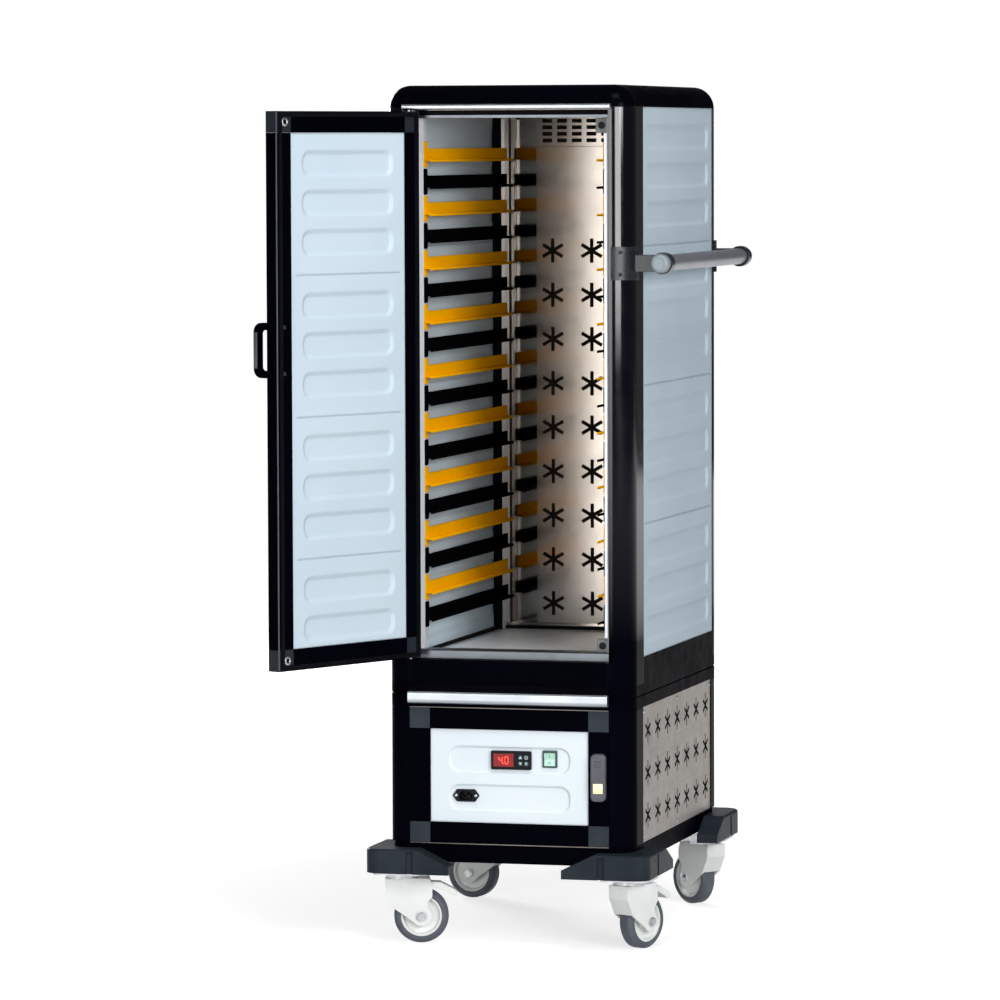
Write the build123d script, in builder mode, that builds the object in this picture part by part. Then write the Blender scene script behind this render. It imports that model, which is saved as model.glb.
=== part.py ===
from build123d import *
import os
from math import cos, floor, radians, sin

# Refrigerated banquet cart. Millimetres, +Z up, floor at z = 0, the door side faces -Y and
# the push bar is on the +X side. The door is modelled as it stands open.
os.makedirs("parts", exist_ok=True)

# Body plan
body_width = 460.0
body_depth = 704.0
edge_radius = 40.0
wall_thickness = 43.0
post_face = 50.0
front_post_depth = 92.0
rear_post_depth = 50.0
panel_recess = 1.5
seat_gap = 0.2

# Heights, from the floor up
wheel_diameter = 100.0
caster_height = 131.0
mount_plate = 4.0
mount_block_height = 20.0
pan_height = 35.0
machine_height = 248.0
deck_height = 44.0
threshold_height = 43.0
sill_height = 16.0
cavity_height = 980.0
ceiling_thickness = 5.0
lintel_height = 14.0

bumper_bottom_z = caster_height + mount_plate
pan_bottom_z = bumper_bottom_z + mount_block_height
pan_top_z = pan_bottom_z + pan_height
deck_z = pan_top_z + machine_height
deck_top_z = deck_z + deck_height
threshold_z = deck_top_z + threshold_height
floor_z = threshold_z + sill_height
ceiling_z = floor_z + cavity_height
shoulder_z = ceiling_z + ceiling_thickness
roof_z = shoulder_z + edge_radius

side_x = body_width / 2
front_y = -body_depth / 2
rear_y = body_depth / 2
round_x = side_x - edge_radius
round_front_y = front_y + edge_radius
inner_x = side_x - wall_thickness
opening_width = body_width - 2 * post_face
opening_x = opening_width / 2
back_y = rear_y - wall_thickness + 1.0
wall_front_y = front_y + front_post_depth
wall_rear_y = rear_y - rear_post_depth
wall_mid_y = (wall_front_y + wall_rear_y) / 2
wall_length = wall_rear_y - wall_front_y

# Door, closed size and the angle it stands open at
door_overlap = 10.0
door_width = opening_width + 2 * door_overlap
door_thickness = 25.0
door_side_gap = 4.0
door_bottom_gap = 4.0
door_top_gap = 3.0
door_open_angle = 115.5
profile_width = 38.0
gasket_thickness = 2.7
gasket_width = 8.0
gasket_gap = 0.3
hinge_inset = 5.0
pin_diameter = 6.0
pin_depth = 20.0
pin_seat = 8.0
pin_clearance = 0.05
panel_inset = 2.0

rebate_depth = door_thickness + gasket_thickness + gasket_gap
rebate_x = door_width / 2 + door_side_gap
land_y = front_y + rebate_depth

# Pressed ribs that every light panel shares
section_height = 252.0
ribs_per_section = 3
rib_pitch = 70.0
rib_height = 48.0
rib_margin = 31.0
rib_corner = 20.0
rib_depth = 4.0
rib_taper = 62.0
rib_end = 16.0
seam_width = 2.0
seam_depth = 2.0

# Bright strips on the front
trim_projection = 14.0
trim_drop = 4.0
top_trim_height = 10.0
ledge_trim_height = 21.0
ledge_trim_slope = 15.0
ledge_trim_width = 2 * inner_x
ledge_trim_rise = 7.0

# Rack
rail_pitch = 49.3
rail_first = 62.0
rail_top_room = 70.0
rail_height = 22.0
rail_web = 4.0
pan_play = 15.0
rail_shelf = 10.0
pan_rim_x = opening_x - pan_play
rail_shelf_x = pan_rim_x - rail_shelf
rail_front_gap = 4.0
rail_tab_height = 47.0
rail_tab_length = 46.0
upright_width = 22.0
upright_thickness = 9.0
upright_inset = 12.0

# Air duct on the back wall
duct_side = 71.0
duct_width = opening_width - 2 * duct_side
duct_depth = 34.0
sheet = 1.5
grille_height = 60.0
asterisk_size = 46.0
asterisk_arm = 6.5
duct_row_pitch = 84.6
duct_column_side = 32.0
duct_column_pitch = duct_width / 2 - duct_column_side
duct_first_row = 38.0
slot_width = 19.0
slot_height = 7.0
slot_pitch_x = 29.0
slot_pitch_z = 12.5
slot_columns = floor((duct_width - slot_width / 2) / slot_pitch_x)

# Lower front frame and its fittings
frame_gap = 0.5
frame_depth = 25.0
control_thickness = 14.0
control_inset = 4.0
control_rib_side = 116.5
control_rib_width = body_width - 2 * control_rib_side
control_rib_depth = 3.0
control_rib_taper = 40.0
fitting_lift = 3.5
thermostat_size = (75.0, 34.0)
thermostat_x = side_x - 226.4
switch_size = (27.5, 31.5)
switch_x = side_x - 154.3
inlet_size = (50.0, 22.5)
inlet_x = -side_x + 148.0
indicator_size = (28.0, 87.0)
bezel = 3.0

# Push bar on the right side
bar_diameter = 30.0
bar_wall = 2.5
bar_x = side_x + 51.0
bar_z = 1245.0
bar_overhang = 22.0
bracket_height = 60.0
bracket_thickness = 5.0

# Casters: swivel axes, trail, and the way each one points at rest
caster_inset = 16.0
caster_x = side_x - caster_inset
caster_y = body_depth / 2 - 42.0
caster_trail = 35.0
caster_plate = 3.0
race_height = 8.0
race_diameter = 60.0
tyre_width = 30.0
tread_depth = 12.0
axle_diameter = 8.0
fork_width = 44.0
fork_slot = 34.0
fork_gap = 0.4
corner_names = ("front_left", "front_right", "rear_right", "rear_left")
corner_spots = (
    (-caster_x, -caster_y),
    (caster_x, -caster_y),
    (caster_x, caster_y),
    (-caster_x, caster_y),
)
corner_angles = (16.0, 64.0, 143.0, 172.0)
braked_corners = ("front_left", "front_right")


def facing_front(y):
    """Sketch plane looking out of the front at depth y: local x is X, local y is Z."""
    return Plane(origin=(0, y, 0), x_dir=(1, 0, 0), z_dir=(0, -1, 0))


def facing_rear(y):
    """Sketch plane looking out of the back at depth y: local x is -X, local y is Z."""
    return Plane(origin=(0, y, 0), x_dir=(-1, 0, 0), z_dir=(0, 1, 0))


def facing_right(x):
    """Sketch plane looking out of the right side at x: local x is Y, local y is Z."""
    return Plane(origin=(x, 0, 0), x_dir=(0, 1, 0), z_dir=(1, 0, 0))


def facing_left(x):
    """Sketch plane looking out to the left at x: local x is -Y, local y is Z."""
    return Plane(origin=(x, 0, 0), x_dir=(0, -1, 0), z_dir=(-1, 0, 0))


def level(z):
    """Horizontal sketch plane at height z."""
    return Plane.XY.offset(z)


def block(x_range, y_range, z_range):
    """Add a block between three pairs of limits to the part being built."""
    middle = [(low + high) / 2 for low, high in (x_range, y_range, z_range)]
    with Locations(tuple(middle)):
        Box(x_range[1] - x_range[0], y_range[1] - y_range[0], z_range[1] - z_range[0])


def rib_rows(top_z, bottom_z):
    """Heights of the ribs of a panel whose sections start at its top edge."""
    rows = []
    section_top = top_z
    while section_top > bottom_z:
        for row in range(ribs_per_section):
            middle = section_top - rib_margin - rib_height / 2 - row * rib_pitch
            if middle - rib_height / 2 > bottom_z + seam_width:
                rows.append(middle)
        section_top -= section_height
    return rows


def section_seams(top_z, bottom_z):
    """Heights of the joints between the sections of a panel."""
    count = floor((top_z - bottom_z - seam_width) / section_height)
    return [top_z - section_height * (number + 1) for number in range(count)]


def press_panel(face, middle, width, top_z, bottom_z):
    """Press the ribs and section joints into one face of the panel being built."""
    with BuildSketch(face) as ribs:
        with Locations(*[(middle, z) for z in rib_rows(top_z, bottom_z)]):
            RectangleRounded(width - 2 * rib_end, rib_height, rib_corner)
    extrude(ribs.sketch, amount=-rib_depth, taper=rib_taper, mode=Mode.SUBTRACT)
    seams = section_seams(top_z, bottom_z)
    if seams:
        with BuildSketch(face) as joints:
            with Locations(*[(middle, z) for z in seams]):
                Rectangle(width, seam_width)
        extrude(joints.sketch, amount=-seam_depth, mode=Mode.SUBTRACT)


def asterisks(points):
    """Six-armed vent holes at the given points of the sketch being drawn."""
    with Locations(*points):
        for turn in (0, 60, 120):
            Rectangle(asterisk_arm, asterisk_size, rotation=turn)


# Base pan that carries the machine and the lower posts
pan_margin = 4.0
pan_wall = 3.0
pan_radius = edge_radius - pan_margin
pan_width = body_width - 2 * pan_margin
pan_depth = body_depth - 2 * pan_margin
with BuildPart() as base_pan:
    with BuildSketch(level(pan_bottom_z)):
        RectangleRounded(pan_width, pan_depth, pan_radius)
    extrude(amount=pan_height)
    with BuildSketch(level(pan_bottom_z + pan_wall)):
        RectangleRounded(pan_width - 2 * pan_wall, pan_depth - 2 * pan_wall, pan_radius - pan_wall)
    extrude(amount=pan_height, mode=Mode.SUBTRACT)
base_pan.part.label = "base_pan"
export_step(base_pan.part, "parts/base_pan.step")

# Caster mounts under the pan, with the fixed top plate and bearing race of each caster
mount_length = 96.0
mount_width = 84.0
with BuildPart() as caster_mounts:
    with BuildSketch(level(bumper_bottom_z)):
        with Locations(*corner_spots):
            Rectangle(mount_length, mount_width)
        inside_pan = (pan_width - 2 * pan_wall, pan_depth - 2 * pan_wall, pan_radius - pan_wall)
        RectangleRounded(*inside_pan, mode=Mode.INTERSECT)
    extrude(amount=mount_block_height)
    with BuildSketch(level(caster_height)):
        with Locations(*corner_spots):
            RectangleRounded(mount_length, mount_width, 8.0)
    extrude(amount=mount_plate)
    with BuildSketch(level(caster_height - seat_gap)):
        with Locations(*corner_spots):
            RectangleRounded(mount_length - 4.0, mount_width - 4.0, 8.0)
    extrude(amount=-caster_plate)
    with BuildSketch(level(caster_height - seat_gap - caster_plate)):
        with Locations(*corner_spots):
            Circle(race_diameter / 2)
    extrude(amount=-race_height)
caster_mounts.part.label = "caster_mounts"
export_step(caster_mounts.part, "parts/caster_mounts.step")

# Corner bumpers, wrapped round the pan, with ends that slope down along each leg
bumper_reach = 36.0
bumper_height = 45.0
bumper_leg_front = 160.0
bumper_leg_side = 205.0
bumper_corner = 30.0
bumper_edge = 5.0
bumper_slope = 62.0
bumper_nose = 16.0
groove_width = 12.0
groove_depth = 4.0
groove_inset = 87.0
bumper_x = side_x + bumper_reach
bumper_y = front_y - bumper_reach
bumper_top_z = bumper_bottom_z + bumper_height
with BuildPart() as corner_bumpers:
    with BuildSketch(level(bumper_bottom_z)):
        with Locations((bumper_x, bumper_y)):
            outline = Rectangle(bumper_leg_front, bumper_leg_side, align=(Align.MAX, Align.MIN))
        fillet(outline.vertices().sort_by(Axis.X)[-2:].sort_by(Axis.Y)[0], bumper_corner)
        RectangleRounded(pan_width + seat_gap, pan_depth + seat_gap, pan_radius, mode=Mode.SUBTRACT)
    extrude(amount=bumper_height)
    top_edges = corner_bumpers.faces().sort_by(Axis.Z)[-1].edges()
    outer_edges = [e for e in top_edges if e.center().X > side_x or e.center().Y < front_y - bumper_edge]
    fillet([e for e in outer_edges if e.length > bumper_reach + seat_gap + pan_margin], bumper_edge)
    with BuildSketch(facing_front(bumper_y - 1.0)):
        with BuildLine():
            Polyline(
                (bumper_x - bumper_leg_front, bumper_bottom_z + bumper_nose),
                (bumper_x - bumper_leg_front + bumper_slope, bumper_top_z + 1.0),
                (bumper_x - bumper_leg_front - 1.0, bumper_top_z + 1.0),
                (bumper_x - bumper_leg_front - 1.0, bumper_bottom_z + bumper_nose),
                close=True,
            )
        make_face()
    extrude(amount=-(bumper_reach + pan_margin + 2.0), mode=Mode.SUBTRACT)
    with BuildSketch(facing_right(bumper_x + 1.0)):
        with BuildLine():
            Polyline(
                (bumper_y + bumper_leg_side, bumper_bottom_z + bumper_nose),
                (bumper_y + bumper_leg_side - bumper_slope, bumper_top_z + 1.0),
                (bumper_y + bumper_leg_side + 1.0, bumper_top_z + 1.0),
                (bumper_y + bumper_leg_side + 1.0, bumper_bottom_z + bumper_nose),
                close=True,
            )
        make_face()
    extrude(amount=-(bumper_reach + pan_margin + 2.0), mode=Mode.SUBTRACT)
    with BuildSketch(level(bumper_bottom_z)):
        with Locations((bumper_x - groove_inset, bumper_y)):
            Rectangle(groove_width, 2 * groove_depth)
        with Locations((bumper_x, bumper_y + groove_inset)):
            Rectangle(2 * groove_depth, groove_width)
    extrude(amount=bumper_height - bumper_edge, mode=Mode.SUBTRACT)
    mirror(about=Plane.YZ)
    mirror(about=Plane.XZ)
corner_bumpers.part.label = "corner_bumpers"
export_step(corner_bumpers.part, "parts/corner_bumpers.step")

# Corner posts: short ones round the machine, tall ones round the cold cavity. The tall front
# posts have a rebate that the closed door drops into.
lower_front_depth = 86.0
lower_rear_depth = 64.0
with BuildPart() as corner_posts:
    with BuildSketch(level(pan_top_z)):
        with Locations((side_x, front_y)):
            lower_front = Rectangle(side_x - inner_x, lower_front_depth, align=(Align.MAX, Align.MIN))
        fillet(lower_front.vertices().group_by(Axis.Y)[0].sort_by(Axis.X)[-1], edge_radius)
        with Locations((side_x, rear_y)):
            lower_rear = Rectangle(side_x - round_x, lower_rear_depth, align=(Align.MAX, Align.MAX))
        fillet(lower_rear.vertices().group_by(Axis.Y)[-1].sort_by(Axis.X)[-1], edge_radius - seat_gap)
    extrude(amount=machine_height - seat_gap)
    with BuildSketch(level(deck_top_z)):
        with Locations((side_x, front_y)):
            front_post = Rectangle(side_x - opening_x, front_post_depth, align=(Align.MAX, Align.MIN))
        fillet(front_post.vertices().group_by(Axis.Y)[0].sort_by(Axis.X)[-1], edge_radius)
        with Locations((side_x, rear_y)):
            rear_post = Rectangle(side_x - round_x, rear_post_depth, align=(Align.MAX, Align.MAX))
        fillet(rear_post.vertices().group_by(Axis.Y)[-1].sort_by(Axis.X)[-1], edge_radius - seat_gap)
    extrude(amount=shoulder_z - deck_top_z)
    with BuildSketch(level(threshold_z)):
        with Locations((opening_x, front_y)):
            Rectangle(rebate_x - opening_x, rebate_depth, align=(Align.MIN, Align.MIN))
    extrude(amount=shoulder_z - threshold_z, mode=Mode.SUBTRACT)
    mirror(about=Plane.YZ)
    hinge_x = -door_width / 2 + hinge_inset
    hinge_y = front_y + hinge_inset
    with Locations((hinge_x, hinge_y, threshold_z)):
        Hole(pin_diameter / 2 + pin_clearance, depth=pin_seat)
corner_posts.part.label = "corner_posts"
export_step(corner_posts.part, "parts/corner_posts.step")

# Deck between machine and cavity, with upstands under the side walls
deck_wall = 8.0
deck_groove = 3.0
deck_groove_depth = 2.0
with BuildPart() as deck_frame:
    with BuildSketch(level(deck_z)):
        RectangleRounded(body_width, body_depth, edge_radius)
    extrude(amount=deck_height)
    with BuildSketch(level(deck_z)):
        RectangleRounded(body_width - 2 * wall_thickness, body_depth - 2 * wall_thickness, deck_wall)
    extrude(amount=deck_height - deck_wall, mode=Mode.SUBTRACT)
    with BuildSketch(level(deck_z + deck_height / 2)):
        RectangleRounded(body_width + 2.0, body_depth + 2.0, edge_radius + 1.0)
        inner_ring = (body_width - 2 * deck_groove_depth, body_depth - 2 * deck_groove_depth)
        RectangleRounded(*inner_ring, edge_radius - deck_groove_depth, mode=Mode.SUBTRACT)
    extrude(amount=deck_groove, mode=Mode.SUBTRACT)
    upstand_z = (deck_top_z, threshold_z + door_bottom_gap)
    block((inner_x, side_x), (wall_front_y + seat_gap, wall_rear_y - seat_gap), upstand_z)
    block((-side_x, -inner_x), (wall_front_y + seat_gap, wall_rear_y - seat_gap), upstand_z)
deck_frame.part.label = "deck_frame"
export_step(deck_frame.part, "parts/deck_frame.step")

# Beam under the opening
beam_depth = 66.0
beam_back_y = front_y + beam_depth
with BuildPart() as threshold_beam:
    block((-opening_x, opening_x), (front_y, beam_back_y), (deck_top_z, threshold_z))
threshold_beam.part.label = "threshold_beam"
export_step(threshold_beam.part, "parts/threshold_beam.step")

# Aluminium lining of the opening: sill, two jambs and lintel
jamb = 2.0
jamb_back_y = front_y + 62.0
with BuildPart() as opening_frame:
    block((-opening_x, opening_x), (land_y, beam_back_y), (threshold_z, floor_z))
    fillet(opening_frame.edges().filter_by(Axis.X).group_by(Axis.Z)[-1].sort_by(Axis.Y)[0], 3.0)
    jamb_z = (floor_z + seat_gap, ceiling_z - lintel_height - seat_gap)
    block((opening_x - jamb, opening_x), (land_y, jamb_back_y), jamb_z)
    block((-opening_x, jamb - opening_x), (land_y, jamb_back_y), jamb_z)
    block((-opening_x, opening_x), (land_y, jamb_back_y), (ceiling_z - lintel_height, ceiling_z))
opening_frame.part.label = "opening_frame"
export_step(opening_frame.part, "parts/opening_frame.step")

# Bright strips: a canopy over the door and a nosing along the deck
trim_bottom_z = shoulder_z - trim_drop
nosing_z = deck_z + ledge_trim_rise
with BuildPart() as front_trims:
    with BuildSketch(facing_right(-rebate_x + seat_gap)):
        with BuildLine():
            Polyline(
                (front_y - trim_projection, trim_bottom_z),
                (land_y - seat_gap, trim_bottom_z),
                (land_y - seat_gap, shoulder_z - seat_gap),
                (front_y - seat_gap, shoulder_z - seat_gap),
                (front_y - seat_gap, trim_bottom_z + top_trim_height),
                (front_y - trim_projection, trim_bottom_z + top_trim_height),
                close=True,
            )
        canopy = make_face()
        fillet(canopy.vertices().group_by(Axis.X)[0], 3.5)
    extrude(amount=2 * (rebate_x - seat_gap))
    with BuildSketch(facing_right(-ledge_trim_width / 2)):
        with BuildLine():
            Polyline(
                (front_y - trim_projection, nosing_z),
                (front_y, nosing_z),
                (front_y, nosing_z + ledge_trim_height + ledge_trim_slope),
                (front_y - trim_projection, nosing_z + ledge_trim_height),
                close=True,
            )
        nosing = make_face()
        fillet(nosing.vertices().group_by(Axis.X)[0], 8.0)
    extrude(amount=ledge_trim_width)
    with Locations((hinge_x, hinge_y, shoulder_z)):
        Hole(pin_diameter / 2 + pin_clearance, depth=2 * trim_drop)
front_trims.part.label = "front_trims"
export_step(front_trims.part, "parts/front_trims.step")

# Front and rear top beams: quarter-round bars that end in ball corners
with BuildPart() as top_beams:
    with BuildSketch(facing_right(-round_x)):
        with BuildLine():
            Line((round_front_y, shoulder_z), (front_y, shoulder_z))
            CenterArc((round_front_y, shoulder_z), edge_radius, 180, -90)
            Line((round_front_y, roof_z), (round_front_y, shoulder_z))
        make_face()
    extrude(amount=2 * round_x)
    with BuildSketch(facing_right(round_x)):
        with BuildLine():
            Line((round_front_y, shoulder_z), (front_y, shoulder_z))
            CenterArc((round_front_y, shoulder_z), edge_radius, 180, -90)
            Line((round_front_y, roof_z), (round_front_y, shoulder_z))
        make_face()
    revolve(axis=Axis((round_x, round_front_y, 0), (0, 0, 1)), revolution_arc=90)
    mirror(about=Plane.YZ)
    mirror(about=Plane.XZ)
    with Locations((hinge_x, hinge_y, shoulder_z + pin_seat)):
        Hole(pin_diameter / 2 + pin_clearance, depth=pin_seat)
top_beams.part.label = "top_beams"
export_step(top_beams.part, "parts/top_beams.step")

# Roof between the beams, rounded along both sides
with BuildPart() as roof_panel:
    with BuildSketch(facing_front(round_front_y + seat_gap)):
        with BuildLine():
            Line((-side_x, shoulder_z), (side_x, shoulder_z))
            CenterArc((round_x, shoulder_z), edge_radius, 0, 90)
            Line((round_x, roof_z), (-round_x, roof_z))
            CenterArc((-round_x, shoulder_z), edge_radius, 90, 90)
        make_face()
    extrude(amount=2 * (round_front_y + seat_gap))
roof_panel.part.label = "roof_panel"
export_step(roof_panel.part, "parts/roof_panel.step")

# Insulated side walls, pressed with ribs inside and outside
wall_bottom_z = threshold_z + door_bottom_gap
wall_margin = 14.0
with BuildPart() as side_walls:
    block((inner_x, side_x - panel_recess), (wall_front_y, wall_rear_y), (wall_bottom_z, shoulder_z))
    rib_field = wall_length - 2 * wall_margin
    press_panel(facing_right(side_x - panel_recess), wall_mid_y, rib_field, shoulder_z, wall_bottom_z)
    press_panel(facing_left(inner_x), -wall_mid_y, rib_field, shoulder_z, wall_bottom_z)
    mirror(about=Plane.YZ)
side_walls.part.label = "side_walls"
export_step(side_walls.part, "parts/side_walls.step")

# Insulated back wall
with BuildPart() as back_wall:
    block((-round_x, round_x), (back_y, rear_y - panel_recess), (deck_top_z, shoulder_z))
    press_panel(facing_rear(rear_y - panel_recess), 0.0, 2 * round_x - 20.0, shoulder_z, wall_bottom_z)
back_wall.part.label = "back_wall"
export_step(back_wall.part, "parts/back_wall.step")

# Stainless sheets: back liner and ceiling
with BuildPart() as cavity_liners:
    block((-inner_x, inner_x), (back_y - sheet, back_y), (floor_z, ceiling_z - seat_gap))
    block((-opening_x, opening_x), (jamb_back_y, wall_front_y), (ceiling_z, shoulder_z))
    block((-inner_x, inner_x), (wall_front_y, back_y), (ceiling_z, shoulder_z))
cavity_liners.part.label = "cavity_liners"
export_step(cavity_liners.part, "parts/cavity_liners.step")

# Insulated floor of the cavity, with a stainless top
with BuildPart() as cavity_floor:
    block((-opening_x, opening_x), (beam_back_y, wall_front_y), (deck_top_z, floor_z))
    block((-inner_x, inner_x), (wall_front_y, back_y), (deck_top_z, floor_z))
cavity_floor.part.label = "cavity_floor"
export_step(cavity_floor.part, "parts/cavity_floor.step")

# Rack uprights on the jambs and on the rear of the side walls
rail_front_y = land_y + rail_front_gap
rail_back_y = back_y - sheet - duct_depth
upright_out_x = opening_x - jamb
upright_in_x = upright_out_x - upright_thickness
upright_front = (rail_front_y + upright_inset, rail_front_y + upright_inset + upright_width)
upright_rear = (rail_back_y - upright_inset - upright_width, rail_back_y - upright_inset)
with BuildPart() as rack_uprights:
    for span in (upright_front, upright_rear):
        block((upright_in_x, upright_out_x), span, (floor_z, ceiling_z - lintel_height))
    mirror(about=Plane.YZ)
rack_uprights.part.label = "rack_uprights"
export_step(rack_uprights.part, "parts/rack_uprights.step")

# Tray rails: L-section runners with a taller clip at the front, yellow and black in turn
rail_count = floor((cavity_height - rail_first - rail_top_room) / rail_pitch) + 1
rail_heights = [floor_z + rail_first + rail_pitch * number for number in range(rail_count)]


def rail_pairs(heights):
    """Add a left and a right runner at each height to the part being built."""
    for z in heights:
        with BuildSketch(facing_front(rail_front_y)) as runner:
            with Locations((pan_rim_x, z)):
                Rectangle(upright_in_x - pan_rim_x, rail_height, align=(Align.MIN, Align.CENTER))
            with Locations((rail_shelf_x, z - rail_height / 2)):
                Rectangle(upright_in_x - rail_shelf_x, rail_web, align=(Align.MIN, Align.MIN))
        extrude(runner.sketch, amount=-(rail_back_y - rail_front_y))
        with BuildSketch(facing_front(rail_front_y)) as clip:
            with Locations((pan_rim_x, z)):
                Rectangle(upright_in_x - pan_rim_x, rail_tab_height, align=(Align.MIN, Align.CENTER))
        extrude(clip.sketch, amount=-rail_tab_length)
    mirror(about=Plane.YZ)


with BuildPart() as rails_black:
    rail_pairs(rail_heights[0::2])
rails_black.part.label = "rails_black"
export_step(rails_black.part, "parts/rails_black.step")
with BuildPart() as rails_yellow:
    rail_pairs(rail_heights[1::2])
rails_yellow.part.label = "rails_yellow"
export_step(rails_yellow.part, "parts/rails_yellow.step")

# Air duct: a folded channel with asterisk vents, and a slotted grille above it
duct_front_y = back_y - sheet - duct_depth
duct_top_z = ceiling_z - grille_height - 6.0
duct_rows = floor((duct_top_z - floor_z - duct_first_row - asterisk_size) / duct_row_pitch)
duct_points = [
    (column * duct_column_pitch, floor_z + duct_first_row + row * duct_row_pitch)
    for row in range(duct_rows)
    for column in (-1, 0, 1)
]
grille_mid_z = ceiling_z - 6.0 - grille_height / 2
with BuildPart() as air_duct:
    for bottom, top in ((floor_z, duct_top_z - 0.5), (duct_top_z, ceiling_z - 6.0)):
        with BuildSketch(level(bottom)):
            with Locations((0, duct_front_y)):
                Rectangle(duct_width, duct_depth, align=(Align.CENTER, Align.MIN))
            with Locations((0, duct_front_y + sheet)):
                inside = duct_width - 2 * sheet
                Rectangle(inside, duct_depth, align=(Align.CENTER, Align.MIN), mode=Mode.SUBTRACT)
        extrude(amount=top - bottom)
    with BuildSketch(facing_front(duct_front_y)):
        asterisks(duct_points)
        with Locations((0, grille_mid_z)):
            with GridLocations(slot_pitch_x, slot_pitch_z, slot_columns, 4):
                Rectangle(slot_width, slot_height)
    extrude(amount=-2 * sheet, mode=Mode.SUBTRACT)
air_duct.part.label = "air_duct"
export_step(air_duct.part, "parts/air_duct.step")

# Evaporator coil and the frame and motor of its fan, behind the duct
coil_width = duct_width - 38.0
coil_height = 260.0
coil_depth = 26.0
coil_drop = 100.0
coil_end = 6.0
evap_fan_size = 120.0
evap_fan_z = duct_top_z - 8.0
coil_top_z = evap_fan_z - coil_drop
evap_fan_depth = 25.0
evap_ring = 56.0
liner_y = back_y - sheet
fan_axis_y = liner_y - evap_fan_depth
motor_radius = 17.0
motor_length = 10.0
shaft_radius = 2.0
shaft_gap = 0.05
with BuildPart() as evaporator:
    coil_z = (coil_top_z - coil_height, coil_top_z)
    block((-coil_width / 2, coil_width / 2), (liner_y - coil_depth, liner_y), coil_z)
    fin_count = 16
    fin_pitch = coil_width / fin_count
    with BuildSketch(facing_front(liner_y - coil_depth)):
        with Locations((0, coil_top_z - coil_height / 2)):
            with GridLocations(fin_pitch, 1.0, fin_count - 1, 1):
                Rectangle(fin_pitch - 2.0, coil_height - 2 * coil_end)
    extrude(amount=-coil_depth / 2, mode=Mode.SUBTRACT)
    with BuildSketch(facing_front(fan_axis_y)):
        with Locations((0, evap_fan_z)):
            Rectangle(evap_fan_size, evap_fan_size)
            Circle(evap_ring, mode=Mode.SUBTRACT)
            Circle(motor_radius)
            Rectangle(evap_fan_size - 2.0, 6.0)
    extrude(amount=-motor_length)
    with BuildSketch(facing_front(liner_y)):
        with Locations((0, evap_fan_z)):
            Rectangle(evap_fan_size, evap_fan_size)
            Circle(evap_ring, mode=Mode.SUBTRACT)
    extrude(amount=evap_fan_depth)
    with BuildSketch(facing_front(fan_axis_y + motor_length)):
        with Locations((0, evap_fan_z)):
            Circle(shaft_radius)
    extrude(amount=-(evap_fan_depth - motor_length - 2.0))
evaporator.part.label = "evaporator"
export_step(evaporator.part, "parts/evaporator.step")


def fan_wheel(hub_radius, tip_radius, blade_depth, blade_count, bore):
    """Axial fan wheel on the origin with its axis along Z, as a private part."""
    with BuildPart(mode=Mode.PRIVATE) as wheel:
        with BuildSketch():
            Circle(hub_radius)
        extrude(amount=blade_depth)
        blade_reach = tip_radius - hub_radius + 2.0
        with PolarLocations((tip_radius + hub_radius - 2.0) / 2, blade_count):
            with Locations(Location((0, 0, blade_depth / 2), (30, 0, 0))):
                Box(blade_reach, blade_depth * 1.5, 1.6)
        Hole(bore)
    return wheel.part


blade_depth = 9.0
evap_wheel = fan_wheel(motor_radius - 1.0, evap_ring - 3.0, blade_depth, 7, shaft_radius + shaft_gap)
evap_place = Plane(origin=(0, fan_axis_y + motor_length + 1.5, evap_fan_z), x_dir=(1, 0, 0), z_dir=(0, 1, 0))
with BuildPart() as evaporator_fan:
    add(evap_place * evap_wheel)
evaporator_fan.part.label = "evaporator_fan"
export_step(evaporator_fan.part, "parts/evaporator_fan.step")

# Lower front frame: four profiles between four corner connectors, and the control panel
frame_half = inner_x - frame_gap
frame_bottom_z = pan_top_z + frame_gap
frame_top_z = deck_z - frame_gap
frame_y = (front_y, front_y + frame_depth)


def profile_bars(x_range, y_range, z_range, width):
    """Four profile bars of a frame, stopping short of its corners."""
    inset = width + seat_gap
    block((x_range[0], x_range[0] + width), y_range, (z_range[0] + inset, z_range[1] - inset))
    block((x_range[1] - width, x_range[1]), y_range, (z_range[0] + inset, z_range[1] - inset))
    block((x_range[0] + inset, x_range[1] - inset), y_range, (z_range[0], z_range[0] + width))
    block((x_range[0] + inset, x_range[1] - inset), y_range, (z_range[1] - width, z_range[1]))


with BuildPart() as control_frame:
    profile_bars((-frame_half, frame_half), frame_y, (frame_bottom_z, frame_top_z), profile_width)
control_frame.part.label = "control_frame"
export_step(control_frame.part, "parts/control_frame.step")
with BuildPart() as control_corners:
    for bottom in (frame_bottom_z, frame_top_z - profile_width):
        block((frame_half - profile_width, frame_half), frame_y, (bottom, bottom + profile_width))
    mirror(about=Plane.YZ)
control_corners.part.label = "control_corners"
export_step(control_corners.part, "parts/control_corners.step")

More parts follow.
